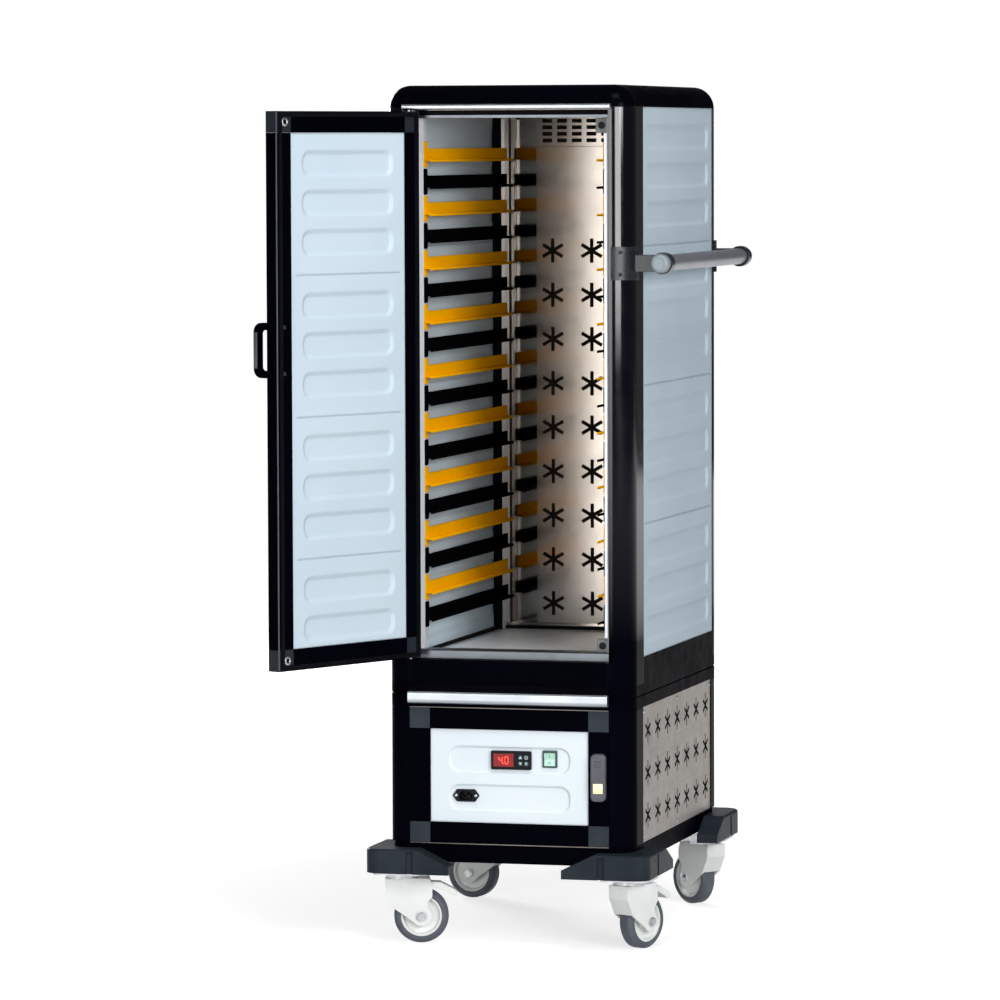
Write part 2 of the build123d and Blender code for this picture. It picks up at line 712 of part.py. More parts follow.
control_x = frame_half - profile_width - seat_gap
control_z = (frame_bottom_z + profile_width + seat_gap, frame_top_z - profile_width - seat_gap)
control_y = front_y + control_inset
fitting_y = control_y + control_rib_depth
upper_rib_z = control_z[1] - rib_margin - rib_height / 2
lower_rib_z = upper_rib_z - rib_pitch
switch_z = upper_rib_z + fitting_lift
inlet_z = lower_rib_z + fitting_lift
thermostat_body = (thermostat_size[0] - 4.0, thermostat_size[1] - 5.0)
switch_body = (switch_size[0] - 5.0, switch_size[1] - 3.5)
inlet_body = (inlet_size[0] - 22.5, inlet_size[1] - 2.0)
cutout_gap = 0.2
fitting_places = (
    ((thermostat_x, upper_rib_z), thermostat_body),
    ((switch_x, switch_z), switch_body),
    ((inlet_x, inlet_z), inlet_body),
)
with BuildPart() as control_panel:
    block((-control_x, control_x), (control_y, control_y + control_thickness), control_z)
    with BuildSketch(facing_front(control_y)):
        with Locations((0, upper_rib_z), (0, lower_rib_z)):
            RectangleRounded(control_rib_width, rib_height, rib_corner)
    extrude(amount=-control_rib_depth, taper=control_rib_taper, mode=Mode.SUBTRACT)
    with BuildSketch(facing_front(control_y)):
        for place, size in fitting_places:
            with Locations(place):
                Rectangle(size[0] + 2 * cutout_gap, size[1] + 2 * cutout_gap)
    extrude(amount=-2 * control_thickness, mode=Mode.SUBTRACT)
control_panel.part.label = "control_panel"
export_step(control_panel.part, "parts/control_panel.step")

# Thermostat: bezel and body, display window, four keys that travel in the bezel
thermostat_bezel = 6.0
thermostat_length = 60.0
window_size = (38.0, 24.0)
window_x = thermostat_x - 14.0
window_depth = 2.0
key_size = 8.0
key_pitch = 11.0
key_gap = 0.3
key_x = thermostat_x + 23.5
key_travel = 0.8
key_depth = 3.0
thermostat_face_y = fitting_y - thermostat_bezel
with BuildPart() as thermostat_housing:
    with BuildSketch(facing_front(fitting_y)):
        with Locations((thermostat_x, upper_rib_z)):
            RectangleRounded(*thermostat_size, 2.5)
    extrude(amount=thermostat_bezel)
    with BuildSketch(facing_front(fitting_y)):
        with Locations((thermostat_x, upper_rib_z)):
            Rectangle(*thermostat_body)
    extrude(amount=-thermostat_length)
    with BuildSketch(facing_front(thermostat_face_y)):
        with Locations((window_x, upper_rib_z)):
            Rectangle(*window_size)
    extrude(amount=-window_depth, mode=Mode.SUBTRACT)
    with BuildSketch(facing_front(thermostat_face_y)):
        with Locations((key_x, upper_rib_z)):
            with GridLocations(key_pitch, key_pitch, 2, 2):
                Rectangle(key_size + 2 * key_gap, key_size + 2 * key_gap)
    extrude(amount=-(key_depth + key_travel + key_gap), mode=Mode.SUBTRACT)
thermostat_housing.part.label = "thermostat_housing"
export_step(thermostat_housing.part, "parts/thermostat_housing.step")
with BuildPart() as thermostat_window:
    with BuildSketch(facing_front(thermostat_face_y + window_depth)):
        with Locations((window_x, upper_rib_z)):
            Rectangle(window_size[0] - seat_gap, window_size[1] - seat_gap)
    extrude(amount=window_depth - 0.4)
thermostat_window.part.label = "thermostat_window"
export_step(thermostat_window.part, "parts/thermostat_window.step")
key_names = ("key_up", "key_down", "key_set", "key_defrost")
key_offsets = ((-1, 1), (-1, -1), (1, 1), (1, -1))
for key_name, offset_signs in zip(key_names, key_offsets):
    key_place = (key_x + offset_signs[0] * key_pitch / 2, upper_rib_z + offset_signs[1] * key_pitch / 2)
    with BuildPart() as key:
        with BuildSketch(facing_front(thermostat_face_y + key_depth)):
            with Locations(key_place):
                RectangleRounded(key_size, key_size, 1.5)
        extrude(amount=key_depth + key_travel + 0.4)
    key.part.label = key_name
    export_step(key.part, f"parts/{key_name}.step")

# Rocker switch: housing with an open front, and a rocker on two stub pivots
rocker_size = (20.0, 24.0)
rocker_gap = 0.5
rocker_depth = 9.0
rocker_rise = 3.5
rocker_pivot = 1.5
switch_depth = 26.0
switch_face_y = fitting_y - bezel
pivot_y = switch_face_y + 4.0
with BuildPart() as switch_housing:
    with BuildSketch(facing_front(fitting_y)):
        with Locations((switch_x, switch_z)):
            RectangleRounded(*switch_size, 2.0)
    extrude(amount=bezel)
    with BuildSketch(facing_front(fitting_y)):
        with Locations((switch_x, switch_z)):
            Rectangle(*switch_body)
    extrude(amount=-switch_depth)
    with BuildSketch(facing_front(switch_face_y)):
        with Locations((switch_x, switch_z)):
            Rectangle(rocker_size[0] + 2 * rocker_gap, rocker_size[1] + 2 * rocker_gap)
    extrude(amount=-(rocker_depth + 5.0), mode=Mode.SUBTRACT)
    with BuildSketch(facing_right(switch_x)):
        with Locations((pivot_y, switch_z)):
            Circle(rocker_pivot + pin_clearance)
    extrude(amount=rocker_size[0] / 2 + 0.8, both=True, mode=Mode.SUBTRACT)
switch_housing.part.label = "switch_housing"
export_step(switch_housing.part, "parts/switch_housing.step")
rocker_half = rocker_size[1] / 2
rocker_tilt = radians(6.0)
rocker_pose = Plane(
    origin=(switch_x, pivot_y, switch_z),
    x_dir=(0, cos(rocker_tilt), sin(rocker_tilt)),
    z_dir=(1, 0, 0),
)
rocker_front = switch_face_y - pivot_y
with BuildPart() as switch_rocker:
    with BuildSketch(rocker_pose):
        with BuildLine():
            Polyline(
                (rocker_front - rocker_rise, rocker_half - 0.5),
                (rocker_front - rocker_rise / 3, 0.0),
                (rocker_front - rocker_rise, 0.5 - rocker_half),
                (rocker_front + 3.0, 0.3 - rocker_half),
                (rocker_front + rocker_depth, -rocker_half / 2),
                (rocker_front + rocker_depth, rocker_half / 2),
                (rocker_front + 3.0, rocker_half - 0.3),
                close=True,
            )
        make_face()
    extrude(amount=rocker_size[0] / 2, both=True)
    with BuildSketch(rocker_pose):
        Circle(rocker_pivot)
    extrude(amount=rocker_size[0] / 2 + 0.7, both=True)
switch_rocker.part.label = "switch_rocker"
export_step(switch_rocker.part, "parts/switch_rocker.step")

# Three-pin power inlet with a six-sided flange
socket_size = (inlet_body[0] - 3.0, inlet_body[1] - 3.5)
socket_depth = 15.0
inlet_length = 24.0
inlet_pin = (2.0, 4.0)
inlet_pin_x = 7.0
inlet_pin_drop = 2.0
with BuildPart() as power_inlet:
    with BuildSketch(facing_front(fitting_y)):
        with Locations((inlet_x, inlet_z)):
            Polygon(
                (-inlet_size[0] / 2, 0.0),
                (-inlet_size[0] / 2 + 8.0, -inlet_size[1] / 2),
                (inlet_size[0] / 2 - 8.0, -inlet_size[1] / 2),
                (inlet_size[0] / 2, 0.0),
                (inlet_size[0] / 2 - 8.0, inlet_size[1] / 2),
                (-inlet_size[0] / 2 + 8.0, inlet_size[1] / 2),
            )
    extrude(amount=bezel)
    with BuildSketch(facing_front(fitting_y)):
        with Locations((inlet_x, inlet_z)):
            Rectangle(*inlet_body)
    extrude(amount=-inlet_length)
    with BuildSketch(facing_front(fitting_y - bezel)):
        with Locations((inlet_x, inlet_z)):
            socket = Rectangle(*socket_size)
        chamfer(socket.vertices().group_by(Axis.Y)[-1], 5.0)
    extrude(amount=-socket_depth, mode=Mode.SUBTRACT)
    with BuildSketch(facing_front(fitting_y - bezel + socket_depth)):
        with Locations((inlet_x - inlet_pin_x, inlet_z - inlet_pin_drop)):
            Rectangle(*inlet_pin)
        with Locations((inlet_x + inlet_pin_x, inlet_z - inlet_pin_drop)):
            Rectangle(*inlet_pin)
        with Locations((inlet_x, inlet_z + inlet_pin_drop)):
            Rectangle(*inlet_pin)
    extrude(amount=socket_depth - 2.0)
power_inlet.part.label = "power_inlet"
export_step(power_inlet.part, "parts/power_inlet.step")

# Status indicator on the right-hand profile: rounded housing and a square lens
indicator_x = frame_half - profile_width / 2 + 1.0
indicator_z = upper_rib_z - 27.0
indicator_depth = 10.0
indicator_round = 9.0
lens_size = 18.0
lens_rise = 1.5
lens_seat = 3.0
lens_z = indicator_z - indicator_size[1] / 2 + 24.0
with BuildPart() as indicator_housing:
    with BuildSketch(facing_front(front_y)):
        with Locations((indicator_x, indicator_z)):
            RectangleRounded(*indicator_size, indicator_round)
    extrude(amount=indicator_depth)
    fillet(indicator_housing.faces().sort_by(Axis.Y)[0].edges(), 2.5)
    with BuildSketch(facing_front(front_y - indicator_depth)):
        with Locations((indicator_x, lens_z)):
            Rectangle(lens_size, lens_size)
    extrude(amount=-lens_seat, mode=Mode.SUBTRACT)
indicator_housing.part.label = "indicator_housing"
export_step(indicator_housing.part, "parts/indicator_housing.step")
with BuildPart() as indicator_lens:
    with BuildSketch(facing_front(front_y - indicator_depth + lens_seat)):
        with Locations((indicator_x, lens_z)):
            Rectangle(lens_size - seat_gap, lens_size - seat_gap)
    extrude(amount=lens_seat + lens_rise)
    chamfer(indicator_lens.faces().sort_by(Axis.Y)[0].edges(), 1.0)
indicator_lens.part.label = "indicator_lens"
export_step(indicator_lens.part, "parts/indicator_lens.step")

# Stainless grilles round the machine: asterisk vents on both sides, louvre slots at the back
grille_sheet = 2.0
grille_rows = 3
grille_columns = 7
grille_row_pitch = 78.0
grille_column_pitch = 78.0
lower_front_y = front_y + lower_front_depth
lower_rear_y = rear_y - lower_rear_depth
grille_y = (lower_front_y + seat_gap, lower_rear_y - seat_gap)
grille_z = (pan_top_z + seat_gap, deck_z - seat_gap)
grille_mid = ((grille_y[0] + grille_y[1]) / 2, (grille_z[0] + grille_z[1]) / 2)
grille_x = side_x - panel_recess
louvre_pitch = 18.0
louvre_span = round_x - 20.0
louvre_bridge = 30.0
louvre_count = floor((grille_z[1] - grille_z[0] - 40.0) / louvre_pitch)
with BuildPart() as machine_grilles:
    block((grille_x - grille_sheet, grille_x), grille_y, grille_z)
    with BuildSketch(facing_right(grille_x)):
        asterisks([
            (
                grille_mid[0] + (column - (grille_columns - 1) / 2) * grille_column_pitch,
                grille_mid[1] + (row - (grille_rows - 1) / 2) * grille_row_pitch,
            )
            for column in range(grille_columns)
            for row in range(grille_rows)
        ])
    extrude(amount=-2 * grille_sheet, mode=Mode.SUBTRACT)
    mirror(about=Plane.YZ)
    back_sheet_y = rear_y - panel_recess
    block((-round_x + seat_gap, round_x - seat_gap), (back_sheet_y - grille_sheet, back_sheet_y), grille_z)
    with BuildSketch(facing_rear(back_sheet_y)):
        with Locations((0, grille_mid[1])):
            with GridLocations(louvre_span, louvre_pitch, 2, louvre_count):
                Rectangle(louvre_span - louvre_bridge, 6.0)
    extrude(amount=-2 * grille_sheet, mode=Mode.SUBTRACT)
machine_grilles.part.label = "machine_grilles"
export_step(machine_grilles.part, "parts/machine_grilles.step")

# Condensing unit on the pan: compressor, finned condenser, and the fan frame with its motor
unit_z = pan_bottom_z + pan_wall
compressor_radius = 72.0
compressor_height = 165.0
compressor_place = (-side_x + 140.0, 90.0)
foot_size = (170.0, 120.0)
foot_height = 12.0
condenser_x = side_x - 60.0
condenser_thick = 40.0
condenser_length = 240.0
condenser_height = 220.0
condenser_y = -60.0
cond_frame_depth = 30.0
cond_fan_radius = 98.0
cond_fan_z = unit_z + condenser_height / 2
cond_motor_radius = 26.0
cond_motor_length = 40.0
cond_frame_x = condenser_x - condenser_thick / 2 - cond_frame_depth
cond_shaft_radius = 4.0
with BuildPart() as condensing_unit:
    with BuildSketch(level(unit_z)):
        with Locations(compressor_place):
            RectangleRounded(*foot_size, 14.0)
    extrude(amount=foot_height)
    with BuildSketch(level(unit_z + foot_height)):
        with Locations(compressor_place):
            Circle(compressor_radius)
    extrude(amount=compressor_height)
    fillet(condensing_unit.faces().sort_by(Axis.Z)[-1].edges(), 34.0)
    condenser_y_range = (condenser_y - condenser_length / 2, condenser_y + condenser_length / 2)
    condenser_x_range = (condenser_x - condenser_thick / 2, condenser_x + condenser_thick / 2)
    block(condenser_x_range, condenser_y_range, (unit_z, unit_z + condenser_height))
    with BuildSketch(facing_right(condenser_x_range[1])):
        with Locations((condenser_y, cond_fan_z)):
            with GridLocations(15.0, 1.0, 15, 1):
                Rectangle(12.0, condenser_height - 16.0)
    extrude(amount=-condenser_thick / 2, mode=Mode.SUBTRACT)
    with BuildSketch(facing_right(cond_frame_x)):
        with Locations((condenser_y, cond_fan_z)):
            Rectangle(condenser_length, condenser_height)
            Circle(cond_fan_radius + 4.0, mode=Mode.SUBTRACT)
    extrude(amount=cond_frame_depth)
    with BuildSketch(facing_right(cond_frame_x)):
        with Locations((condenser_y, cond_fan_z)):
            Circle(cond_motor_radius)
            Rectangle(condenser_length, 16.0)
    extrude(amount=-6.0)
    with BuildSketch(facing_right(cond_frame_x)):
        with Locations((condenser_y, cond_fan_z)):
            Circle(cond_motor_radius)
    extrude(amount=-cond_motor_length)
    with BuildSketch(facing_right(cond_frame_x)):
        with Locations((condenser_y, cond_fan_z)):
            Circle(cond_shaft_radius)
    extrude(amount=cond_frame_depth - 6.0)
condensing_unit.part.label = "condensing_unit"
export_step(condensing_unit.part, "parts/condensing_unit.step")

cond_blade_depth = 16.0
cond_wheel = fan_wheel(cond_motor_radius, cond_fan_radius, cond_blade_depth, 5, cond_shaft_radius + shaft_gap)
cond_place = Plane(origin=(cond_frame_x + 5.0, condenser_y, cond_fan_z), x_dir=(0, 1, 0), z_dir=(1, 0, 0))
with BuildPart() as condenser_fan:
    add(cond_place * cond_wheel)
condenser_fan.part.label = "condenser_fan"
export_step(condenser_fan.part, "parts/condenser_fan.step")

# Push bar with end caps, held by saddle brackets on the right-hand posts
bar_end_y = -front_y - bar_overhang
bar_radius = bar_diameter / 2
cap_radius = bar_radius + 2.0
cap_length = 22.0
eye_radius = bar_radius + 4.5
eye_length = 22.0
with BuildPart() as push_bar:
    with BuildSketch(facing_front(-bar_end_y)):
        with Locations((bar_x, bar_z)):
            Circle(bar_radius)
            Circle(bar_radius - bar_wall, mode=Mode.SUBTRACT)
    extrude(amount=-2 * bar_end_y)
push_bar.part.label = "push_bar"
export_step(push_bar.part, "parts/push_bar.step")
with BuildPart() as push_bar_caps:
    with BuildSketch(facing_front(-bar_end_y)):
        with Locations((bar_x, bar_z)):
            Circle(cap_radius)
    extrude(amount=cap_length)
    fillet(push_bar_caps.faces().sort_by(Axis.Y)[0].edges(), 7.0)
    mirror(about=Plane.XZ)
push_bar_caps.part.label = "push_bar_caps"
export_step(push_bar_caps.part, "parts/push_bar_caps.step")
saddle_radius = edge_radius + seat_gap
arm_height = 30.0
eye_y = (-bar_end_y + 1.0, -bar_end_y + 1.0 + eye_length)
with BuildPart() as push_bar_brackets:
    with BuildSketch(level(bar_z - bracket_height / 2)):
        with Locations((round_x, round_front_y)):
            Circle(saddle_radius + bracket_thickness)
            Circle(saddle_radius, mode=Mode.SUBTRACT)
        with Locations((round_x + 3.0, round_front_y)):
            Rectangle(2 * body_width, 2 * body_width, align=(Align.MAX, Align.CENTER), mode=Mode.SUBTRACT)
        with Locations((0, round_front_y)):
            Rectangle(2 * body_width, 2 * body_width, align=(Align.CENTER, Align.MIN), mode=Mode.SUBTRACT)
    extrude(amount=bracket_height)
    with BuildSketch(level(bar_z - arm_height / 2)):
        Polygon(
            (side_x - bracket_thickness, eye_y[0]),
            (bar_x, eye_y[0]),
            (bar_x, eye_y[1]),
            (side_x - bracket_thickness, eye_y[1] + bracket_thickness),
            align=None,
        )
        clear_of_body = (body_width + 2 * seat_gap, body_depth + 2 * seat_gap, saddle_radius)
        RectangleRounded(*clear_of_body, mode=Mode.SUBTRACT)
    extrude(amount=arm_height)
    with BuildSketch(facing_front(eye_y[0])):
        with Locations((bar_x, bar_z)):
            Circle(eye_radius)
    extrude(amount=-eye_length)
    with BuildSketch(facing_front(eye_y[0] - 1.0)):
        with Locations((bar_x, bar_z)):
            Circle(bar_radius + pin_clearance)
    extrude(amount=-(eye_length + 20.0), mode=Mode.SUBTRACT)
    mirror(about=Plane.XZ)
push_bar_brackets.part.label = "push_bar_brackets"
export_step(push_bar_brackets.part, "parts/push_bar_brackets.step")

# Hinge pins, fixed in the post below and in the top beam above
door_bottom_z = threshold_z + door_bottom_gap
door_top_z = trim_bottom_z - door_top_gap
pin_spans = (
    (threshold_z - pin_seat, door_bottom_z + pin_depth),
    (door_top_z - pin_depth, shoulder_z + pin_seat),
)
with BuildPart() as hinge_pins:
    for bottom, top in pin_spans:
        with BuildSketch(level(bottom)):
            with Locations((hinge_x, hinge_y)):
                Circle(pin_diameter / 2)
        extrude(amount=top - bottom)
hinge_pins.part.label = "hinge_pins"
export_step(hinge_pins.part, "parts/hinge_pins.step")

# The door, drawn in its own plane: u runs from the hinge axis to the free edge, and the plane
# offset runs from the axis to the outside
swing = radians(door_open_angle)
door_along = Vector(cos(swing), -sin(swing), 0)
door_out = Vector(-sin(swing), -cos(swing), 0)
door_origin = Vector(hinge_x, hinge_y, 0)


def door_face(out):
    """Sketch plane of the door at a distance outside the hinge axis."""
    return Plane(origin=door_origin + door_out * out, x_dir=door_along, z_dir=door_out)


def door_inside(out):
    """The same place seen from inside: local x runs from the free edge to the hinge."""
    return Plane(origin=door_origin + door_out * out, x_dir=door_along * -1, z_dir=door_out * -1)


door_u = (-hinge_inset, door_width - hinge_inset)
door_front = hinge_inset
door_back = hinge_inset - door_thickness
leaf_u = (door_u[0] + profile_width, door_u[1] - profile_width)
leaf_z = (door_bottom_z + profile_width, door_top_z - profile_width)


def door_slab(u_range, z_range, front, back):
    """Add a rectangle of the door between two offsets to the part being built."""
    with BuildSketch(door_face(back)) as slab:
        with Locations(((u_range[0] + u_range[1]) / 2, (z_range[0] + z_range[1]) / 2)):
            Rectangle(u_range[1] - u_range[0], z_range[1] - z_range[0])
    extrude(slab.sketch, amount=front - back)


with BuildPart() as door_frame:
    bar_u = (leaf_u[0] + seat_gap, leaf_u[1] - seat_gap)
    bar_span_z = (leaf_z[0] + seat_gap, leaf_z[1] - seat_gap)
    door_slab((door_u[0], leaf_u[0]), bar_span_z, door_front, door_back)
    door_slab((leaf_u[1], door_u[1]), bar_span_z, door_front, door_back)
    door_slab(bar_u, (door_bottom_z, leaf_z[0]), door_front, door_back)
    door_slab(bar_u, (leaf_z[1], door_top_z), door_front, door_back)
door_frame.part.label = "door_frame"
export_step(door_frame.part, "parts/door_frame.step")
with BuildPart() as door_corners:
    for z_range in ((door_bottom_z, leaf_z[0]), (leaf_z[1], door_top_z)):
        door_slab((door_u[0], leaf_u[0]), z_range, door_front, door_back)
        door_slab((leaf_u[1], door_u[1]), z_range, door_front, door_back)
    pin_room = pin_depth + seat_gap
    with Locations((hinge_x, hinge_y, door_bottom_z + pin_room), (hinge_x, hinge_y, door_top_z)):
        Hole(pin_diameter / 2 + pin_clearance, depth=pin_room)
door_corners.part.label = "door_corners"
export_step(door_corners.part, "parts/door_corners.step")
with BuildPart() as door_panel:
    leaf_gap_u = (leaf_u[0] + seat_gap, leaf_u[1] - seat_gap)
    leaf_gap_z = (leaf_z[0] + seat_gap, leaf_z[1] - seat_gap)
    leaf_middle = (leaf_u[0] + leaf_u[1]) / 2
    leaf_width = leaf_gap_u[1] - leaf_gap_u[0]
    door_slab(leaf_gap_u, leaf_gap_z, door_front - panel_inset, door_back + panel_inset)
    leaf_field = leaf_width - 2 * wall_margin
    press_panel(door_inside(door_back + panel_inset), -leaf_middle, leaf_field, leaf_gap_z[1], leaf_gap_z[0])
    press_panel(door_face(door_front - panel_inset), leaf_middle, leaf_field, leaf_gap_z[1], leaf_gap_z[0])
door_panel.part.label = "door_panel"
export_step(door_panel.part, "parts/door_panel.step")

# Door seal on the inner face of the frame
with BuildPart() as door_gasket:
    gasket_u = (0.0, door_u[1] - hinge_inset)
    gasket_z = (door_bottom_z + 2.0, door_top_z - 2.0)
    gasket_middle = ((gasket_u[0] + gasket_u[1]) / 2, (gasket_z[0] + gasket_z[1]) / 2)
    gasket_size = (gasket_u[1] - gasket_u[0], gasket_z[1] - gasket_z[0])
    with BuildSketch(door_inside(door_back)):
        with Locations((-gasket_middle[0], gasket_middle[1])):
            Rectangle(*gasket_size)
            gasket_hole = (gasket_size[0] - 2 * gasket_width, gasket_size[1] - 2 * gasket_width)
            Rectangle(*gasket_hole, mode=Mode.SUBTRACT)
    extrude(amount=gasket_thickness)
door_gasket.part.label = "door_gasket"
export_step(door_gasket.part, "parts/door_gasket.step")

# Pull handle on the outside of the free profile
handle_height = 98.0
handle_reach = 34.0
handle_width = 20.0
handle_grip = 11.0
handle_foot = 14.0
handle_z = 1097.0
handle_u = door_u[1] - profile_width / 2 + 2.0
handle_side = door_origin + door_along * (handle_u + handle_width / 2)
with BuildPart() as door_handle:
    with BuildSketch(Plane(origin=handle_side, x_dir=door_out, z_dir=door_along * -1)):
        with Locations((door_front, handle_z)):
            bow = Rectangle(handle_reach, handle_height, align=(Align.MIN, Align.CENTER))
        fillet(bow.vertices().group_by(Axis.X)[-1], 10.0)
        with Locations((door_front - 1.0, handle_z)):
            finger = (handle_reach - handle_grip + 1.0, handle_height - 2 * handle_foot)
            Rectangle(*finger, align=(Align.MIN, Align.CENTER), mode=Mode.SUBTRACT)
    extrude(amount=handle_width)
door_handle.part.label = "door_handle"
export_step(door_handle.part, "parts/door_handle.step")

# Casters: each one has a swivel housing with its axle, a hub and a tyre, and the front pair
# have a brake pedal
wheel_radius = wheel_diameter / 2
hub_radius = wheel_radius - tread_depth
crown_z = caster_height - seat_gap - caster_plate - race_height - fork_gap
well_radius = wheel_radius + 3.0
pedal_x = 48.0
pedal_z = crown_z - 10.5
pedal_pin = 2.5
pedal_width = 28.0
pedal_reach = 98.0
for corner, spot, angle in zip(corner_names, corner_spots, corner_angles):
    turn = radians(angle)
    trail_dir = Vector(cos(turn), sin(turn), 0)
    axle_dir = Vector(-sin(turn), cos(turn), 0)
    swivel = Vector(spot[0], spot[1], 0)
    axle = swivel + trail_dir * caster_trail + Vector(0, 0, wheel_radius)
    side_plane = Plane(origin=swivel, x_dir=trail_dir, z_dir=axle_dir * -1)
    radial_plane = Plane(origin=axle, x_dir=axle_dir, z_dir=trail_dir)
    with BuildPart() as fork:
        with BuildSketch(side_plane):
            with BuildLine():
                Polyline(
                    (-race_diameter / 2 - 1.0, crown_z),
                    (-race_diameter / 2 - 1.0, wheel_radius + 45.0),
                    (-16.0, wheel_radius + 15.0),
                    (caster_trail - 18.0, wheel_radius - 8.5),
                    (caster_trail + 16.0, wheel_radius - 9.0),
                    (caster_trail + 11.0, wheel_radius + 24.0),
                    (caster_trail + 20.0, wheel_radius + 36.0),
                    (caster_trail + 20.0, wheel_radius + 55.0),
                    (caster_trail + 15.0, crown_z),
                    close=True,
                )
            make_face()
            with Locations((caster_trail, wheel_radius)):
                Circle(18.5)
        extrude(amount=fork_width / 2, both=True)
        with BuildSketch(side_plane):
            with Locations((caster_trail, wheel_radius)):
                Circle(well_radius)
        extrude(amount=fork_slot / 2, both=True, mode=Mode.SUBTRACT)
        with BuildSketch(side_plane):
            with Locations((caster_trail, wheel_radius)):
                Circle(axle_diameter / 2 + pin_clearance)
        extrude(amount=fork_width, both=True, mode=Mode.SUBTRACT)
        if corner in braked_corners:
            with BuildSketch(side_plane):
                with Locations((pedal_x - 9.0, pedal_z + 7.0)):
                    Rectangle(pedal_reach, 22.0, align=(Align.MIN, Align.MAX))
            extrude(amount=pedal_width / 2 + 1.0, both=True, mode=Mode.SUBTRACT)
            with BuildSketch(side_plane):
                with Locations((pedal_x, pedal_z)):
                    Circle(pedal_pin + pin_clearance)
            extrude(amount=fork_width, both=True, mode=Mode.SUBTRACT)
        with BuildSketch(side_plane):
            with Locations((caster_trail, wheel_radius)):
                Circle(axle_diameter / 2)
        extrude(amount=fork_width / 2 + seat_gap, both=True)
        for side in (1, -1):
            with BuildSketch(side_plane.offset(side * (fork_width / 2 + seat_gap))):
                with Locations((caster_trail, wheel_radius)):
                    RegularPolygon(axle_diameter * 0.8, 6)
            extrude(amount=side * 4.0)
    fork.part.label = f"caster_{corner}_fork"
    export_step(fork.part, f"parts/caster_{corner}_fork.step")
    with BuildPart() as hub:
        with BuildSketch(radial_plane):
            with BuildLine():
                Polyline(
                    (-fork_slot / 2 + 0.5, axle_diameter / 2 + pin_clearance),
                    (fork_slot / 2 - 0.5, axle_diameter / 2 + pin_clearance),
                    (fork_slot / 2 - 0.5, 11.0),
                    (4.0, 13.0),
                    (4.0, hub_radius - 6.0),
                    (tyre_width / 2 - 2.0, hub_radius - 4.0),
                    (tyre_width / 2 - 2.0, hub_radius),
                    (-tyre_width / 2 + 2.0, hub_radius),
                    (-tyre_width / 2 + 2.0, hub_radius - 4.0),
                    (-4.0, hub_radius - 6.0),
                    (-4.0, 13.0),
                    (-fork_slot / 2 + 0.5, 11.0),
                    close=True,
                )
            make_face()
        revolve(axis=Axis(axle, axle_dir))
    hub.part.label = f"caster_{corner}_hub"
    export_step(hub.part, f"parts/caster_{corner}_hub.step")
    with BuildPart() as tyre:
        with BuildSketch(radial_plane):
            with BuildLine():
                Polyline(
                    (-tyre_width / 2, hub_radius),
                    (tyre_width / 2, hub_radius),
                    (tyre_width / 2, wheel_radius - 6.0),
                    (tyre_width / 2 - 6.0, wheel_radius),
                    (-tyre_width / 2 + 6.0, wheel_radius),
                    (-tyre_width / 2, wheel_radius - 6.0),
                    close=True,
                )
            make_face()
        revolve(axis=Axis(axle, axle_dir))
    tyre.part.label = f"caster_{corner}_tyre"
    export_step(tyre.part, f"parts/caster_{corner}_tyre.step")
    if corner in braked_corners:
        with BuildPart() as pedal:
            with BuildSketch(side_plane):
                with BuildLine():
                    Polyline(
                        (pedal_x - 5.0, pedal_z - 4.0),
                        (pedal_x + 20.0, pedal_z - 9.0),
                        (pedal_reach - 4.0, pedal_z - 23.0),
                        (pedal_reach + 2.0, pedal_z - 20.0),
                        (pedal_reach, pedal_z - 12.0),
                        (pedal_x + 22.0, pedal_z + 2.5),
                        (pedal_x - 5.0, pedal_z + 4.0),
                        close=True,
                    )
                make_face()
            extrude(amount=pedal_width / 2, both=True)
            with BuildSketch(side_plane):
                with Locations((pedal_x, pedal_z)):
                    Circle(pedal_pin)
            extrude(amount=fork_width / 2 - 1.0, both=True)
        pedal.part.label = f"caster_{corner}_pedal"
        export_step(pedal.part, f"parts/caster_{corner}_pedal.step")
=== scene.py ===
"""Looks of a refrigerated banquet cart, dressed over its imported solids.

Sizes are in millimetres in the part's own frame, X to the right, Y to the back and Z up, and
become metres where a mesh is finished. The studio alone is laid out in metres.
"""

import logging
import math
from dataclasses import dataclass
from enum import Enum

import bmesh
import bpy
from mathutils import Matrix, Vector
from mathutils.bvhtree import BVHTree


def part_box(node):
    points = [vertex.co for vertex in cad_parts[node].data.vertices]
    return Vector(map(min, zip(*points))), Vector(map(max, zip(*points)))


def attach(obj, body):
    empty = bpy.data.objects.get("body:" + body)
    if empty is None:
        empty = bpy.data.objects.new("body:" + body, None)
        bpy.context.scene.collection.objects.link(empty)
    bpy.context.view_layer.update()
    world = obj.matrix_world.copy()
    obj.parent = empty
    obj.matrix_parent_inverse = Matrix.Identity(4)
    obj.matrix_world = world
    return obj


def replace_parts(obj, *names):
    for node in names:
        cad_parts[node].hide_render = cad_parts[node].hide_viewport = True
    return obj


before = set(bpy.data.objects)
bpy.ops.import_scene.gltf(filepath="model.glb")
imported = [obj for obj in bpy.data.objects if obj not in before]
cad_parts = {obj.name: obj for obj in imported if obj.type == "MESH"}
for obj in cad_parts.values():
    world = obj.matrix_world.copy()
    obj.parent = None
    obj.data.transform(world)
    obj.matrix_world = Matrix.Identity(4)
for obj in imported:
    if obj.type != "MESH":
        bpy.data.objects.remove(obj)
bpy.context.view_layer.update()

LOG = logging.getLogger("cart")

Pair = tuple[float, float]
Triple = tuple[float, float, float]
Point = Vector | Triple
Profile = tuple[Pair, ...] | list[Pair]
Colour = tuple[int, int, int]
Socket = bpy.types.NodeSocket

